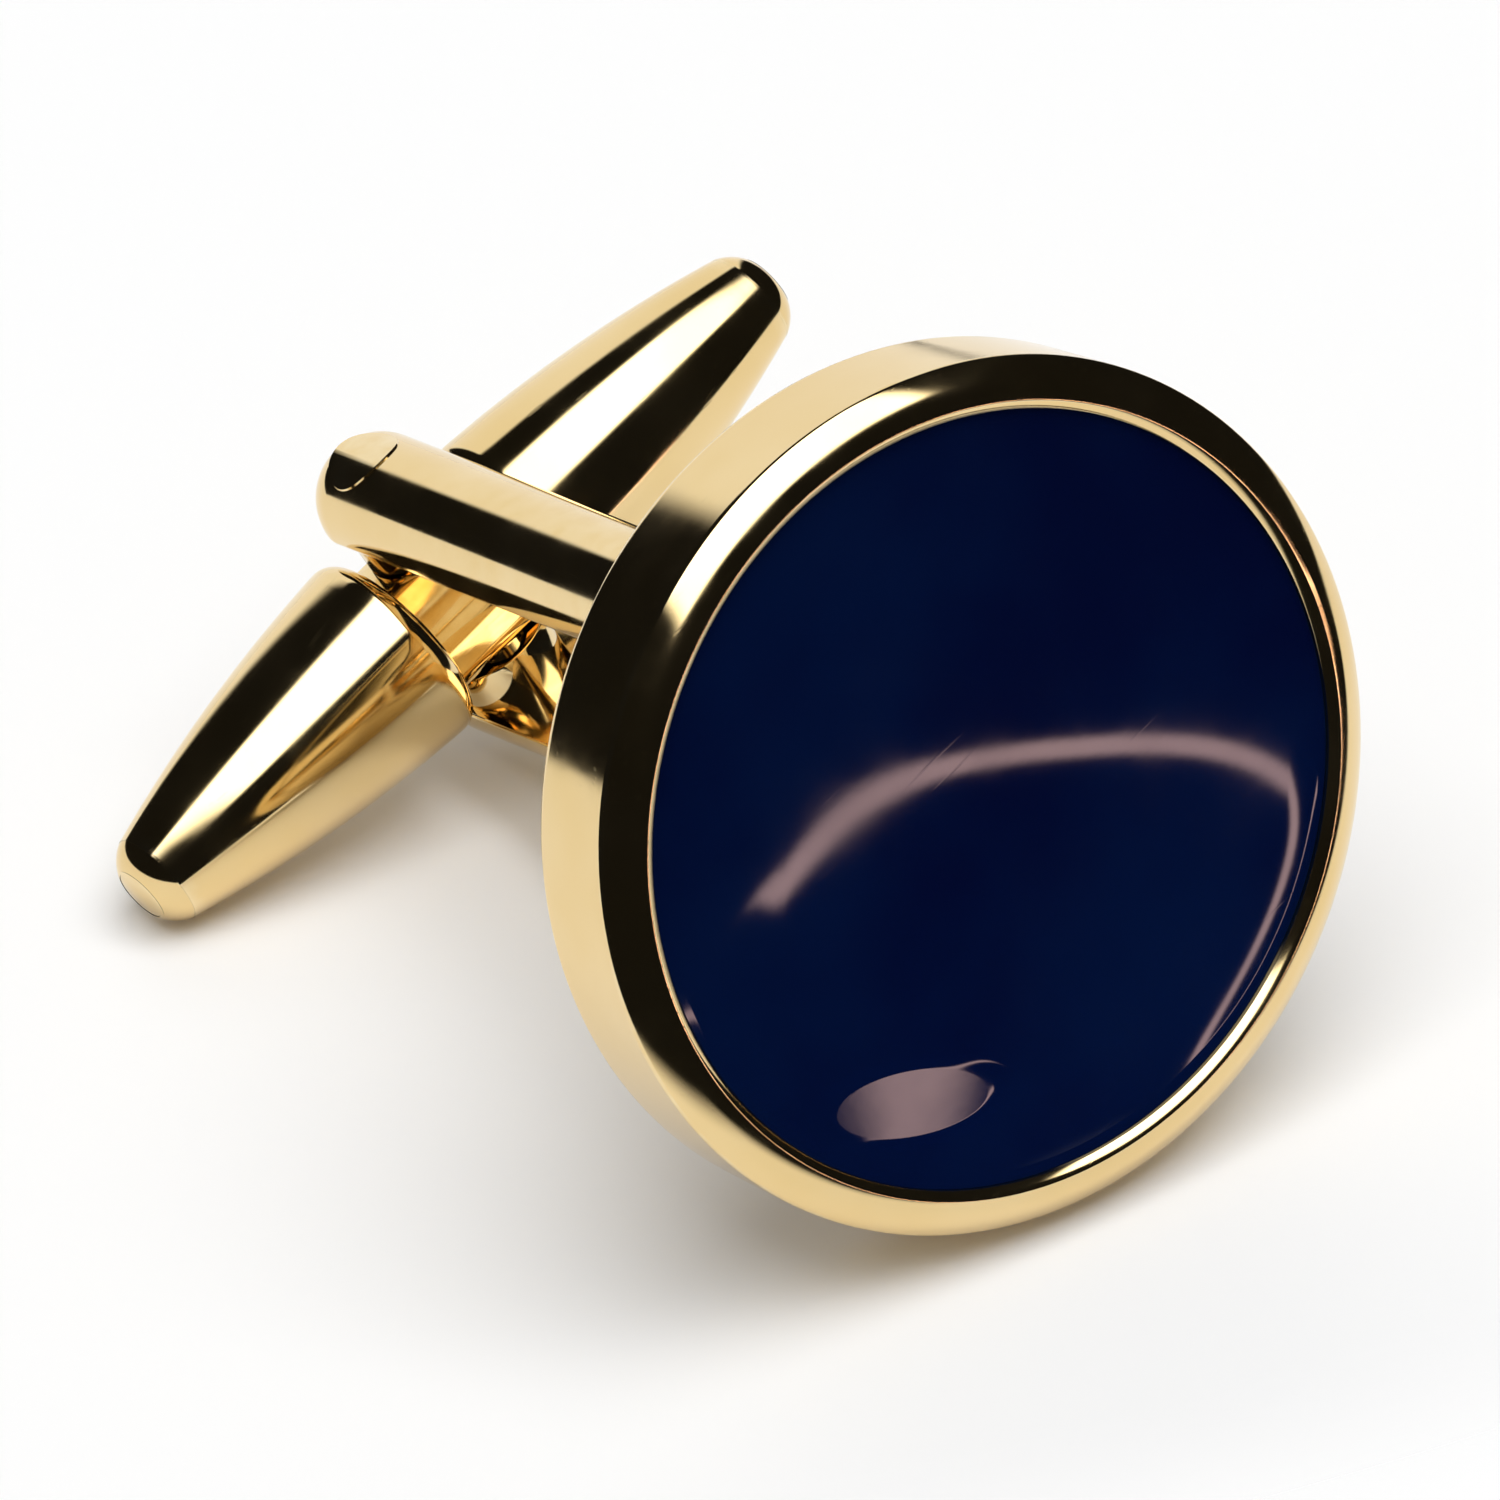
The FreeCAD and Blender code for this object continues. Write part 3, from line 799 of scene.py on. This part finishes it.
class Wiring:
    """A node tree, with one short call that adds a node and joins its sockets."""

    def __init__(self, tree: NodeTree) -> None:
        """Work on the node tree of a material, a world or a group."""
        self.tree = tree

    def add(self, kind: str, sockets: dict[str | int, SocketValue], **settings: Setting) -> Node:
        """Add a node.

        Args:
            kind: The node's type, without its ShaderNode prefix.
            sockets: For each input by name or number, a constant or the output that feeds it.
            settings: The node's own options.

        Returns:
            The new node.
        """
        node = self.tree.nodes.new("ShaderNode" + kind)
        for option, choice in settings.items():
            setattr(node, option, choice)
        for socket, value in sockets.items():
            self.feed(node.inputs[socket], value)
        return node

    def feed(self, socket: NodeSocket, value: SocketValue) -> None:
        """Set an input to a constant or join it to an output."""
        if isinstance(value, NodeSocket):
            self.tree.links.new(value, socket)
        else:
            socket.default_value = value

    def place(self) -> NodeSocket:
        """Add the place on the piece, in metres."""
        return self.add("TexCoord", {}).outputs["Object"]

    def maths(self, operation: str, first: SocketValue, second: SocketValue = 0.0) -> NodeSocket:
        """Add a sum of two values."""
        return self.add("Math", {0: first, 1: second}, operation=operation).outputs["Value"]

    def dot(self, first: SocketValue, second: SocketValue) -> NodeSocket:
        """Add the dot product of two vectors."""
        product = self.add("VectorMath", {0: first, 1: second}, operation="DOT_PRODUCT")
        return product.outputs["Value"]

    def ramp(self, value: SocketValue, start: SocketValue, end: SocketValue) -> NodeSocket:
        """Add a soft step from 0 at the start to 1 at the end."""
        step = {"Value": value, "From Min": start, "From Max": end}
        return self.add("MapRange", step, interpolation_type="SMOOTHSTEP").outputs["Result"]

    def between(self, share: SocketValue, first: SocketValue, second: SocketValue) -> NodeSocket:
        """Add a blend of two colours, with a share of the second."""
        return self.add("Mix", {0: share, 6: first, 7: second}, data_type="RGBA").outputs[2]

    def effect(self, group: NodeTree, sockets: dict[str, SocketValue]) -> NodeSocket:
        """Place a shared effect with values of its own."""
        return self.add("Group", sockets, node_tree=group).outputs[0]


class Effects:
    """The surface effects that the finishes share, each a node group that is made once."""

    def __init__(self) -> None:
        """Make the five groups."""
        self.tone_drift = self.make_tone_drift()
        self.hairlines = self.make_hairlines()
        self.handling_film = self.make_handling_film()
        self.rubbed_edge = self.make_rubbed_edge()
        self.soft_ripple = self.make_soft_ripple()

    @staticmethod
    def start(
        name: str, inputs: dict[str, str], output: str, kind: str
    ) -> tuple[Wiring, Node, NodeSocket]:
        """Start a group with named sockets.

        Args:
            name: The group's name.
            inputs: The type of each named input.
            output: The output's name.
            kind: The output's type.

        Returns:
            The group's wiring, its input node and the socket of its result.
        """
        tree = bpy.data.node_groups.new(name, "ShaderNodeTree")
        for label, sort in inputs.items():
            tree.interface.new_socket(label, in_out="INPUT", socket_type="NodeSocket" + sort)
        tree.interface.new_socket(output, in_out="OUTPUT", socket_type="NodeSocket" + kind)
        entry, leave = tree.nodes.new("NodeGroupInput"), tree.nodes.new("NodeGroupOutput")
        return Wiring(tree), entry, leave.inputs[output]

    @staticmethod
    def clouds(wiring: Wiring, vector: SocketValue, size: SocketValue, detail: float) -> NodeSocket:
        """Add soft noise, with so many clouds to a metre and so many finer layers."""
        noise = wiring.add("TexNoise", {"Vector": vector, "Scale": size, "Detail": detail})
        return noise.outputs["Fac"]

    @classmethod
    def make_tone_drift(cls) -> NodeTree:
        """Make the slow drift of a colour between two tones.

        Returns:
            The group.
        """
        inputs = {"Light Tone": "Color", "Deep Tone": "Color", "Per Metre": "Float"}
        wiring, entry, result = cls.start("tone_drift", inputs, "Colour", "Color")
        noise = cls.clouds(wiring, wiring.place(), entry.outputs["Per Metre"], detail=3.0)
        share = wiring.ramp(noise, start=0.3, end=0.7)
        tones = (entry.outputs["Light Tone"], entry.outputs["Deep Tone"])
        wiring.feed(result, wiring.between(share, *tones))
        return wiring.tree

    @classmethod
    def make_hairlines(cls) -> NodeTree:
        """Make fine stray scratches that run three ways.

        Returns:
            The group.
        """
        inputs = {"Per Metre": "Float", "Threshold": "Float"}
        wiring, entry, result = cls.start("hairlines", inputs, "Mask", "Float")
        place, threshold = wiring.place(), entry.outputs["Threshold"]
        stretch, softness = (0.03, 1.0, 1.0), 0.05
        mask: SocketValue = 0.0
        for turn in ((0.2, 0.5, 0.9), (1.1, 2.0, 0.3), (2.3, 0.9, 1.7)):
            strokes = wiring.add("Mapping", {"Vector": place, "Rotation": turn, "Scale": stretch})
            vector = strokes.outputs["Vector"]
            noise = cls.clouds(wiring, vector, entry.outputs["Per Metre"], detail=1.0)
            sharp = wiring.maths("ADD", threshold, softness)
            mask = wiring.maths("MAXIMUM", mask, wiring.ramp(noise, threshold, sharp))
        wiring.feed(result, mask)
        return wiring.tree

    @classmethod
    def make_handling_film(cls) -> NodeTree:
        """Make the uneven gloss that handling and wiping leave.

        Returns:
            The group.
        """
        inputs = dict.fromkeys(("Clean", "Smeared", "Per Metre", "Scratch"), "Float")
        wiring, entry, result = cls.start("handling_film", inputs, "Roughness", "Float")
        noise = cls.clouds(wiring, wiring.place(), entry.outputs["Per Metre"], detail=5.0)
        smear = wiring.ramp(noise, start=0.35, end=0.75)
        share = wiring.maths("MAXIMUM", smear, entry.outputs["Scratch"])
        ends = {"To Min": entry.outputs["Clean"], "To Max": entry.outputs["Smeared"]}
        wiring.feed(result, wiring.add("MapRange", {"Value": share, **ends}).outputs["Result"])
        return wiring.tree

    @classmethod
    def make_rubbed_edge(cls) -> NodeTree:
        """Make the broken wear along edges.

        Returns:
            The group.
        """
        inputs = {"Edge": "Float", "Per Metre": "Float"}
        wiring, entry, result = cls.start("rubbed_edge", inputs, "Mask", "Float")
        noise = cls.clouds(wiring, wiring.place(), entry.outputs["Per Metre"], detail=4.0)
        broken = wiring.ramp(noise, start=0.25, end=0.7)
        wiring.feed(result, wiring.maths("MULTIPLY", entry.outputs["Edge"], broken))
        return wiring.tree

    @classmethod
    def make_soft_ripple(cls) -> NodeTree:
        """Make the slight unevenness of a polished or poured surface.

        Returns:
            The group.
        """
        inputs = dict.fromkeys(("Per Metre", "Fine Per Metre", "Fine Share"), "Float")
        wiring, entry, result = cls.start("soft_ripple", inputs, "Height", "Float")
        place = wiring.place()
        broad = cls.clouds(wiring, place, entry.outputs["Per Metre"], detail=1.0)
        fine = cls.clouds(wiring, place, entry.outputs["Fine Per Metre"], detail=2.0)
        share = wiring.maths("MULTIPLY", fine, entry.outputs["Fine Share"])
        wiring.feed(result, wiring.maths("ADD", broad, share))
        return wiring.tree


def new_material(name: str) -> tuple[Material, Wiring, Node]:
    """Start a node material.

    Args:
        name: The material's name.

    Returns:
        The material, its wiring and its main shader.
    """
    material = bpy.data.materials.new(name)
    material.use_nodes = True
    tree = material.node_tree
    return material, Wiring(tree), tree.nodes["Principled BSDF"]


@dataclass(frozen=True, kw_only=True)
class Finish:
    """What finishes share: two tones, an uneven gloss, hairlines and, on some, edges and ripples.

    Scales are in features to a metre, depths and heights in metres.
    """

    name: str
    colour: Colour
    deep_colour: Colour
    tone_scale: float
    edge_colour: Colour | None = None
    edge_scale: float = 0.0
    gloss: float
    smeared: float
    film_scale: float
    hairline_scale: float
    hairline_threshold: float
    hairline_depth: float
    ripple_scale: float = 0.0
    ripple_height: float = 0.0
    fine_scale: float = 0.0
    fine_share: float = 0.0
    metallic: float = 1.0
    refraction: float = 1.5

    def make(self, effects: Effects) -> Material:
        """Make the material.

        Args:
            effects: The shared surface effects.

        Returns:
            The material.
        """
        material, wiring, shader = new_material(self.name)
        tones = {"Light Tone": (*self.colour, 1.0), "Deep Tone": (*self.deep_colour, 1.0)}
        colour = wiring.effect(effects.tone_drift, {**tones, "Per Metre": self.tone_scale})
        if self.edge_colour:
            edge = wiring.add("Attribute", {}, attribute_name="edge_wear").outputs["Fac"]
            mask = wiring.effect(effects.rubbed_edge, {"Edge": edge, "Per Metre": self.edge_scale})
            colour = wiring.between(mask, colour, (*self.edge_colour, 1.0))
        wiring.feed(shader.inputs["Base Color"], colour)
        strokes = {"Per Metre": self.hairline_scale, "Threshold": self.hairline_threshold}
        scratch = wiring.effect(effects.hairlines, strokes)
        film = {"Clean": self.gloss, "Smeared": self.smeared, "Per Metre": self.film_scale}
        rough = wiring.effect(effects.handling_film, {**film, "Scratch": scratch})
        wiring.feed(shader.inputs["Roughness"], rough)
        ground = self.form(wiring)
        if self.ripple_height:
            fine = {"Fine Per Metre": self.fine_scale, "Fine Share": self.fine_share}
            ripple = wiring.effect(effects.soft_ripple, {"Per Metre": self.ripple_scale, **fine})
            uneven = {"Height": ripple, "Distance": self.ripple_height, **ground}
            ground = {"Normal": wiring.add("Bump", uneven).outputs["Normal"]}
        scored = {"Height": scratch, "Distance": self.hairline_depth, **ground}
        cut = wiring.add("Bump", scored, invert=True)
        wiring.feed(shader.inputs["Normal"], cut.outputs["Normal"])
        shader.inputs["Metallic"].default_value = self.metallic
        shader.inputs["IOR"].default_value = self.refraction
        return material

    def form(self, wiring: Wiring) -> dict[str, NodeSocket]:
        """Give the form under ripples and hairlines: the plain mesh, unless a finish has more."""
        return {}


@dataclass(frozen=True, kw_only=True)
class GoldPlate(Finish):
    """Mirror-polished yellow gold plate, with hairlines from handling and rubbed edges."""

    name: str = "polished_gold_plate"
    colour: Colour = (0.84, 0.64, 0.33)
    deep_colour: Colour = (0.81, 0.60, 0.28)
    tone_scale: float = 300.0
    gloss: float = 0.07
    smeared: float = 0.13
    film_scale: float = 700.0
    hairline_scale: float = 9000.0
    hairline_threshold: float = 0.72
    hairline_depth: float = 2.0e-7
    edge_colour: Colour = (0.87, 0.70, 0.41)
    edge_scale: float = 1800.0
    ripple_scale: float = 450.0
    ripple_height: float = 3.0e-6
    fine_scale: float = 2600.0
    fine_share: float = 0.08


@dataclass(frozen=True)
class PouredFace:
    """The uneven face of poured enamel: a shallow hollow along a curved course, which ends in a
    tail, a rolled side and one level spot.

    Lengths are in millimetres on the face, along two axes of its own.
    """

    across: Point = (0.8094, 0.0, -0.5873)
    along: Point = (0.5873, 0.0, 0.8094)
    course: tuple[float, ...] = (-0.00079, 0.00555, -0.02878, 0.02147, 0.8637)
    hollow_slope: float = 0.028
    hollow_ends: Spot = (-5.0, 0.0)
    hollow_widths: Spot = (3.2, 1.26)
    tail_start: float = -4.8
    tail_bend: float = 0.008
    roll_start: float = 7.1
    roll_bend: float = 0.03
    roll_across: Spot = (3.5, 6.5)
    roll_along: Spot = (0.6, -0.6)
    level_place: Spot = (-1.8, -6.0)
    level_size: Spot = (2.1, 0.8)
    level_fade: Spot = (1.5, 0.7)
    level_slopes: Spot = (-0.013, 0.024)

    def height(self, wiring: Wiring) -> NodeSocket:
        """Add the face's height.

        Args:
            wiring: The tree that gets it.

        Returns:
            The height's socket, in millimetres.
        """
        scaled = {0: wiring.place(), "Scale": 1.0 / MM}
        place = wiring.add("VectorMath", scaled, operation="SCALE").outputs["Vector"]
        across, along = wiring.dot(place, self.across), wiring.dot(place, self.along)
        falls = wiring.maths("ADD", self.roll(wiring, across, along), self.tail(wiring, across))
        rest = wiring.maths("SUBTRACT", self.hollow(wiring, across, along), falls)
        return wiring.maths("ADD", rest, self.level_spot(wiring, across, along))

    @staticmethod
    def square(wiring: Wiring, value: NodeSocket) -> NodeSocket:
        """Add a value's square."""
        return wiring.maths("MULTIPLY", value, value)

    def length(self, wiring: Wiring, first: NodeSocket, second: NodeSocket) -> NodeSocket:
        """Add the length of a slant with two sides."""
        squares = (self.square(wiring, side) for side in (first, second))
        return wiring.maths("SQRT", wiring.maths("ADD", *squares))

    def hollow(self, wiring: Wiring, across: NodeSocket, along: NodeSocket) -> NodeSocket:
        """Add the hollow along the course.

        Args:
            wiring: The tree that gets it.
            across: The place across the face.
            along: The place along the face.

        Returns:
            The rise on both sides of the course.
        """
        course: SocketValue = 0.0
        for factor in self.course:
            course = wiring.maths("ADD", wiring.maths("MULTIPLY", course, across), factor)
        beside = wiring.maths("SUBTRACT", along, course)
        limits = ("From Min", "From Max", "To Min", "To Max")
        widths = {"Value": across, **dict(zip(limits, self.hollow_ends + self.hollow_widths))}
        width = wiring.add("MapRange", widths, interpolation_type="SMOOTHSTEP").outputs["Result"]
        rise = wiring.maths("SUBTRACT", self.length(wiring, beside, width), width)
        return wiring.maths("MULTIPLY", rise, self.hollow_slope)

    def tail(self, wiring: Wiring, across: NodeSocket) -> NodeSocket:
        """Add the fall at the hollow's end."""
        behind = wiring.maths("MAXIMUM", wiring.maths("SUBTRACT", self.tail_start, across))
        return wiring.maths("MULTIPLY", self.square(wiring, behind), self.tail_bend)

    def roll(self, wiring: Wiring, across: NodeSocket, along: NodeSocket) -> NodeSocket:
        """Add the fall at the rolled side.

        Args:
            wiring: The tree that gets it.
            across: The place across the face.
            along: The place along the face.

        Returns:
            The fall.
        """
        out = self.length(wiring, across, along)
        over = wiring.maths("MAXIMUM", wiring.maths("SUBTRACT", out, self.roll_start))
        sides = (wiring.ramp(across, *self.roll_across), wiring.ramp(along, *self.roll_along))
        side = wiring.maths("MULTIPLY", *sides)
        rolled = wiring.maths("MULTIPLY", self.square(wiring, over), side)
        return wiring.maths("MULTIPLY", rolled, self.roll_bend)

    def level_spot(self, wiring: Wiring, across: NodeSocket, along: NodeSocket) -> NodeSocket:
        """Add what levels the slope in one small spot.

        Args:
            wiring: The tree that gets it.
            across: The place across the face.
            along: The place along the face.

        Returns:
            The change of height.
        """
        away: SocketValue = 0.0
        tilt: SocketValue = 0.0
        spot = zip((across, along), self.level_place, self.level_size, self.level_slopes)
        for value, middle, size, slope in spot:
            offset = wiring.maths("SUBTRACT", value, middle)
            share = self.square(wiring, wiring.maths("DIVIDE", offset, size))
            away = wiring.maths("ADD", away, share)
            tilt = wiring.maths("ADD", tilt, wiring.maths("MULTIPLY", offset, slope))
        return wiring.maths("MULTIPLY", tilt, wiring.ramp(away, *self.level_fade))


@dataclass(frozen=True, kw_only=True)
class NavyEnamel(Finish):
    """Deep navy enamel with a clear gloss, uneven as poured, thinner where it meets the metal."""

    name: str = "navy_enamel_gloss"
    colour: Colour = (0.0008, 0.0072, 0.046)
    deep_colour: Colour = (0.0004, 0.0030, 0.032)
    tone_scale: float = 170.0
    gloss: float = 0.03
    smeared: float = 0.05
    film_scale: float = 500.0
    hairline_scale: float = 8000.0
    hairline_threshold: float = 0.76
    hairline_depth: float = 4.0e-8
    metallic: float = 0.0
    refraction: float = 1.6
    edge_colour: Colour = (0.004, 0.016, 0.055)
    edge_scale: float = 500.0
    ripple_scale: float = 260.0
    ripple_height: float = 2.0e-6
    fine_scale: float = 3200.0
    fine_share: float = 0.03

    def form(self, wiring: Wiring) -> dict[str, NodeSocket]:
        """Add the poured face."""
        face = {"Height": PouredFace().height(wiring), "Distance": MM}
        return {"Normal": wiring.add("Bump", face).outputs["Normal"]}


@dataclass(frozen=True, kw_only=True)
class SpringSteel(Finish):
    """Bare rolled spring strip, with the lines of its rolling."""

    name: str = "rolled_spring_steel"
    colour: Colour = (0.55, 0.55, 0.56)
    deep_colour: Colour = (0.44, 0.45, 0.47)
    tone_scale: float = 900.0
    gloss: float = 0.22
    smeared: float = 0.42
    film_scale: float = 1500.0
    hairline_scale: float = 14000.0
    hairline_threshold: float = 0.55
    hairline_depth: float = 1.5e-6


@dataclass(frozen=True)
class Panel:
    """A lit panel in the surroundings, in degrees: place, tilt, half sizes and soft edge."""

    azimuth: float
    elevation: float
    tilt: float
    half_length: float
    half_width: float
    edge: float


@dataclass
class Studio:
    """The white card that the cufflink lies on, the light around it and the camera.

    Directions are given as an azimuth from the camera's side, positive to its right, and an
    elevation above the card, both in degrees. Lengths are in millimetres.
    """

    up: Point = (0.354, -0.248, 0.902)
    card_radius: float = 60.0
    card_fade: float = 6.0
    card_setback: float = 43.0
    card_azimuth: float = -165.0
    card_colour: Colour = (0.97, 0.97, 0.97)
    card_roughness: float = 0.8
    card_sides: int = 256
    softbox: Panel = Panel(25.0, 75.0, 24.5, 29.0, 24.0, 3.0)
    softbox_level: float = 3.35
    backdrop: Panel = Panel(-168.5, 19.0, 0.0, 21.5, 28.0, 2.5)
    backdrop_level: float = 1.0
    low_strip: Panel = Panel(65.7, -9.1, 0.0, 8.4, 0.38, 0.22)
    low_strip_colour: Colour = (5.0, 3.25, 2.95)
    room_level: float = 0.008
    room_fill: float = 0.3
    panel_front: Spot = (0.0, 0.05)
    camera_place: Point = (-197.90, -592.24, 366.60)
    camera_aim: Point = (-2.65, -0.25, 3.14)
    camera_up: Point = (0.675, 0.208, 0.708)
    lens: float = 873.0
    sensor: float = 36.0
    clip_start: float = 10.0

    def build(self, pieces: list[Object]) -> None:
        """Set up card, light and camera.

        Args:
            pieces: The pieces that lie on the card.
        """
        self.build_card(pieces)
        self.build_light()
        self.build_camera()

    def direction(self, azimuth: float, elevation: float) -> Vector:
        """Turn an azimuth and an elevation into a direction.

        Args:
            azimuth: Degrees from the camera's side, positive to its right.
            elevation: Degrees above the card.

        Returns:
            The direction, of length one.
        """
        up = Vector(self.up).normalized()
        back = Vector(self.camera_place) - Vector(self.camera_aim)
        front = (back - back.dot(up) * up).normalized()
        right = up.cross(front)
        turn, rise = math.radians(azimuth), math.radians(elevation)
        level = math.cos(turn) * front + math.sin(turn) * right
        return math.cos(rise) * level + math.sin(rise) * up

    def build_card(self, pieces: list[Object]) -> None:
        """Lay the card under the lowest point of the pieces.

        Args:
            pieces: The pieces that lie on the card.
        """
        up = Vector(self.up).normalized()
        lowest = min(up.dot(point.co) for piece in pieces for point in piece.data.vertices)
        middle = self.card_setback * MM * self.direction(self.card_azimuth, 0.0)
        clear_selection()
        bpy.ops.mesh.primitive_circle_add(
            vertices=self.card_sides,
            radius=self.card_radius * MM,
            fill_type="NGON",
            location=middle + (lowest - up.dot(middle)) * up,
            rotation=up.to_track_quat("Z", "Y").to_euler(),
        )
        card = bpy.context.active_object
        card.name = "white_card"
        card.data.materials.append(self.card_material())

    def card_material(self) -> Material:
        """Make the card's matt white, which fades out at its border and can't be seen from below.

        Returns:
            The material.
        """
        material, wiring, shader = new_material("white_card")
        shader.inputs["Base Color"].default_value = (*self.card_colour, 1.0)
        shader.inputs["Roughness"].default_value = self.card_roughness
        away = wiring.add("VectorMath", {0: wiring.place()}, operation="LENGTH").outputs["Value"]
        white = wiring.ramp(away, self.card_radius * MM, (self.card_radius - self.card_fade) * MM)
        below = wiring.add("NewGeometry", {}).outputs["Backfacing"]
        shown = wiring.add("Math", {0: white, 1: below}, operation="SUBTRACT", use_clamp=True)
        clear = wiring.add("BsdfTransparent", {}).outputs["BSDF"]
        shaders = {0: shown.outputs["Value"], 1: clear, 2: shader.outputs["BSDF"]}
        mixed = wiring.add("MixShader", shaders).outputs["Shader"]
        wiring.feed(wiring.tree.nodes["Material Output"].inputs["Surface"], mixed)
        return material

    def build_light(self) -> None:
        """Light the cufflink with a softbox over it and a white backdrop behind it, in a dark room.

        The camera sees white all round, and polished surfaces also show a thin strip.
        """
        world = bpy.data.worlds.new("studio")
        world.use_nodes = True
        wiring = Wiring(world.node_tree)
        where = wiring.add("TexCoord", {}).outputs["Generated"]
        ray = wiring.add("LightPath", {}).outputs
        glossy = ray["Is Glossy Ray"]
        softbox = self.panel_light(wiring, where, self.softbox, self.softbox_level)
        backdrop = self.panel_light(wiring, where, self.backdrop, self.backdrop_level)
        levels = {"Value": glossy, "To Min": self.room_fill, "To Max": self.room_level}
        room = wiring.add("MapRange", levels).outputs["Result"]
        around = wiring.maths("MAXIMUM", wiring.maths("MAXIMUM", softbox, backdrop), room)
        seen = wiring.maths("MAXIMUM", ray["Is Camera Ray"], ray["Is Transmission Ray"])
        strength = wiring.add("Mix", {0: seen, 2: around, 3: 1.0})
        background = wiring.tree.nodes["Background"]
        background.inputs["Color"].default_value = (1.0, 1.0, 1.0, 1.0)
        wiring.feed(background.inputs["Strength"], strength.outputs["Result"])
        strip = self.panel_light(wiring, where, self.low_strip, 1.0)
        shine = wiring.maths("MULTIPLY", strip, glossy)
        glow = wiring.add("Background", {"Color": (*self.low_strip_colour, 1.0), "Strength": shine})
        lights = {0: background.outputs["Background"], 1: glow.outputs["Background"]}
        both = wiring.add("AddShader", lights).outputs["Shader"]
        wiring.feed(wiring.tree.nodes["World Output"].inputs["Surface"], both)
        bpy.context.scene.world = world

    def panel_light(
        self, wiring: Wiring, where: NodeSocket, panel: Panel, level: float
    ) -> NodeSocket:
        """Add a panel of the surroundings: an oblong with soft edges.

        Args:
            wiring: The world's wiring.
            where: The direction that is looked in.
            panel: The panel's place and size.
            level: Its level.

        Returns:
            The panel's light in that direction.
        """
        middle = self.direction(panel.azimuth, panel.elevation)
        sideways = self.direction(panel.azimuth + 90.0, 0.0)
        upright = self.direction(panel.azimuth, panel.elevation + 90.0)
        tilt = math.radians(panel.tilt)
        along = math.cos(tilt) * sideways + math.sin(tilt) * upright
        ahead = wiring.dot(where, middle)
        light = wiring.maths("MULTIPLY", wiring.ramp(ahead, *self.panel_front), level)
        for axis, half in ((along, panel.half_length), (middle.cross(along), panel.half_width)):
            slant = wiring.maths("DIVIDE", wiring.dot(where, axis), ahead)
            size = wiring.maths("ABSOLUTE", slant)
            ends = (math.tan(math.radians(half + shift)) for shift in (panel.edge, -panel.edge))
            light = wiring.maths("MULTIPLY", light, wiring.ramp(size, *ends))
        return light

    def build_camera(self) -> None:
        """Place the camera at the viewing angle."""
        lens = bpy.data.cameras.new("camera")
        lens.lens = self.lens
        lens.sensor_width = self.sensor
        lens.clip_start = self.clip_start * MM
        camera = bpy.data.objects.new("camera", lens)
        bpy.context.scene.collection.objects.link(camera)
        place = Vector(self.camera_place)
        back = (place - Vector(self.camera_aim)).normalized()
        right = Vector(self.camera_up).cross(back).normalized()
        turn = Matrix((right, back.cross(right), back)).transposed().to_4x4()
        camera.matrix_world = Matrix.Translation(place * MM) @ turn
        bpy.context.scene.camera = camera


def remove_startup_objects() -> None:
    """Take away whatever Blender's own start file holds."""
    kept = set(frame["nodes"].values()) | set(frame["bodies"].values())
    for obj in [obj for obj in bpy.data.objects if obj not in kept]:
        bpy.data.objects.remove(obj)


def main() -> None:
    """Build and dress the cufflink and set up its studio."""
    logging.basicConfig(level=logging.INFO, format="%(name)s: %(message)s")
    remove_startup_objects()
    bpy.context.scene.view_settings.view_transform = "Standard"
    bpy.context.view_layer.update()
    effects = Effects()
    gold = GoldPlate().make(effects)
    head, post, toggle = Head(), Post(), Toggle()
    for part in (head, post, toggle):
        part.build()
    head.dress(gold, NavyEnamel().make(effects))
    post.dress(gold)
    toggle.dress(gold, SpringSteel().make(effects))
    pieces = [piece for part in (head, post, toggle) for piece in part.pieces.values()]
    Studio().build(pieces)


if __name__ == "__main__":
    main()
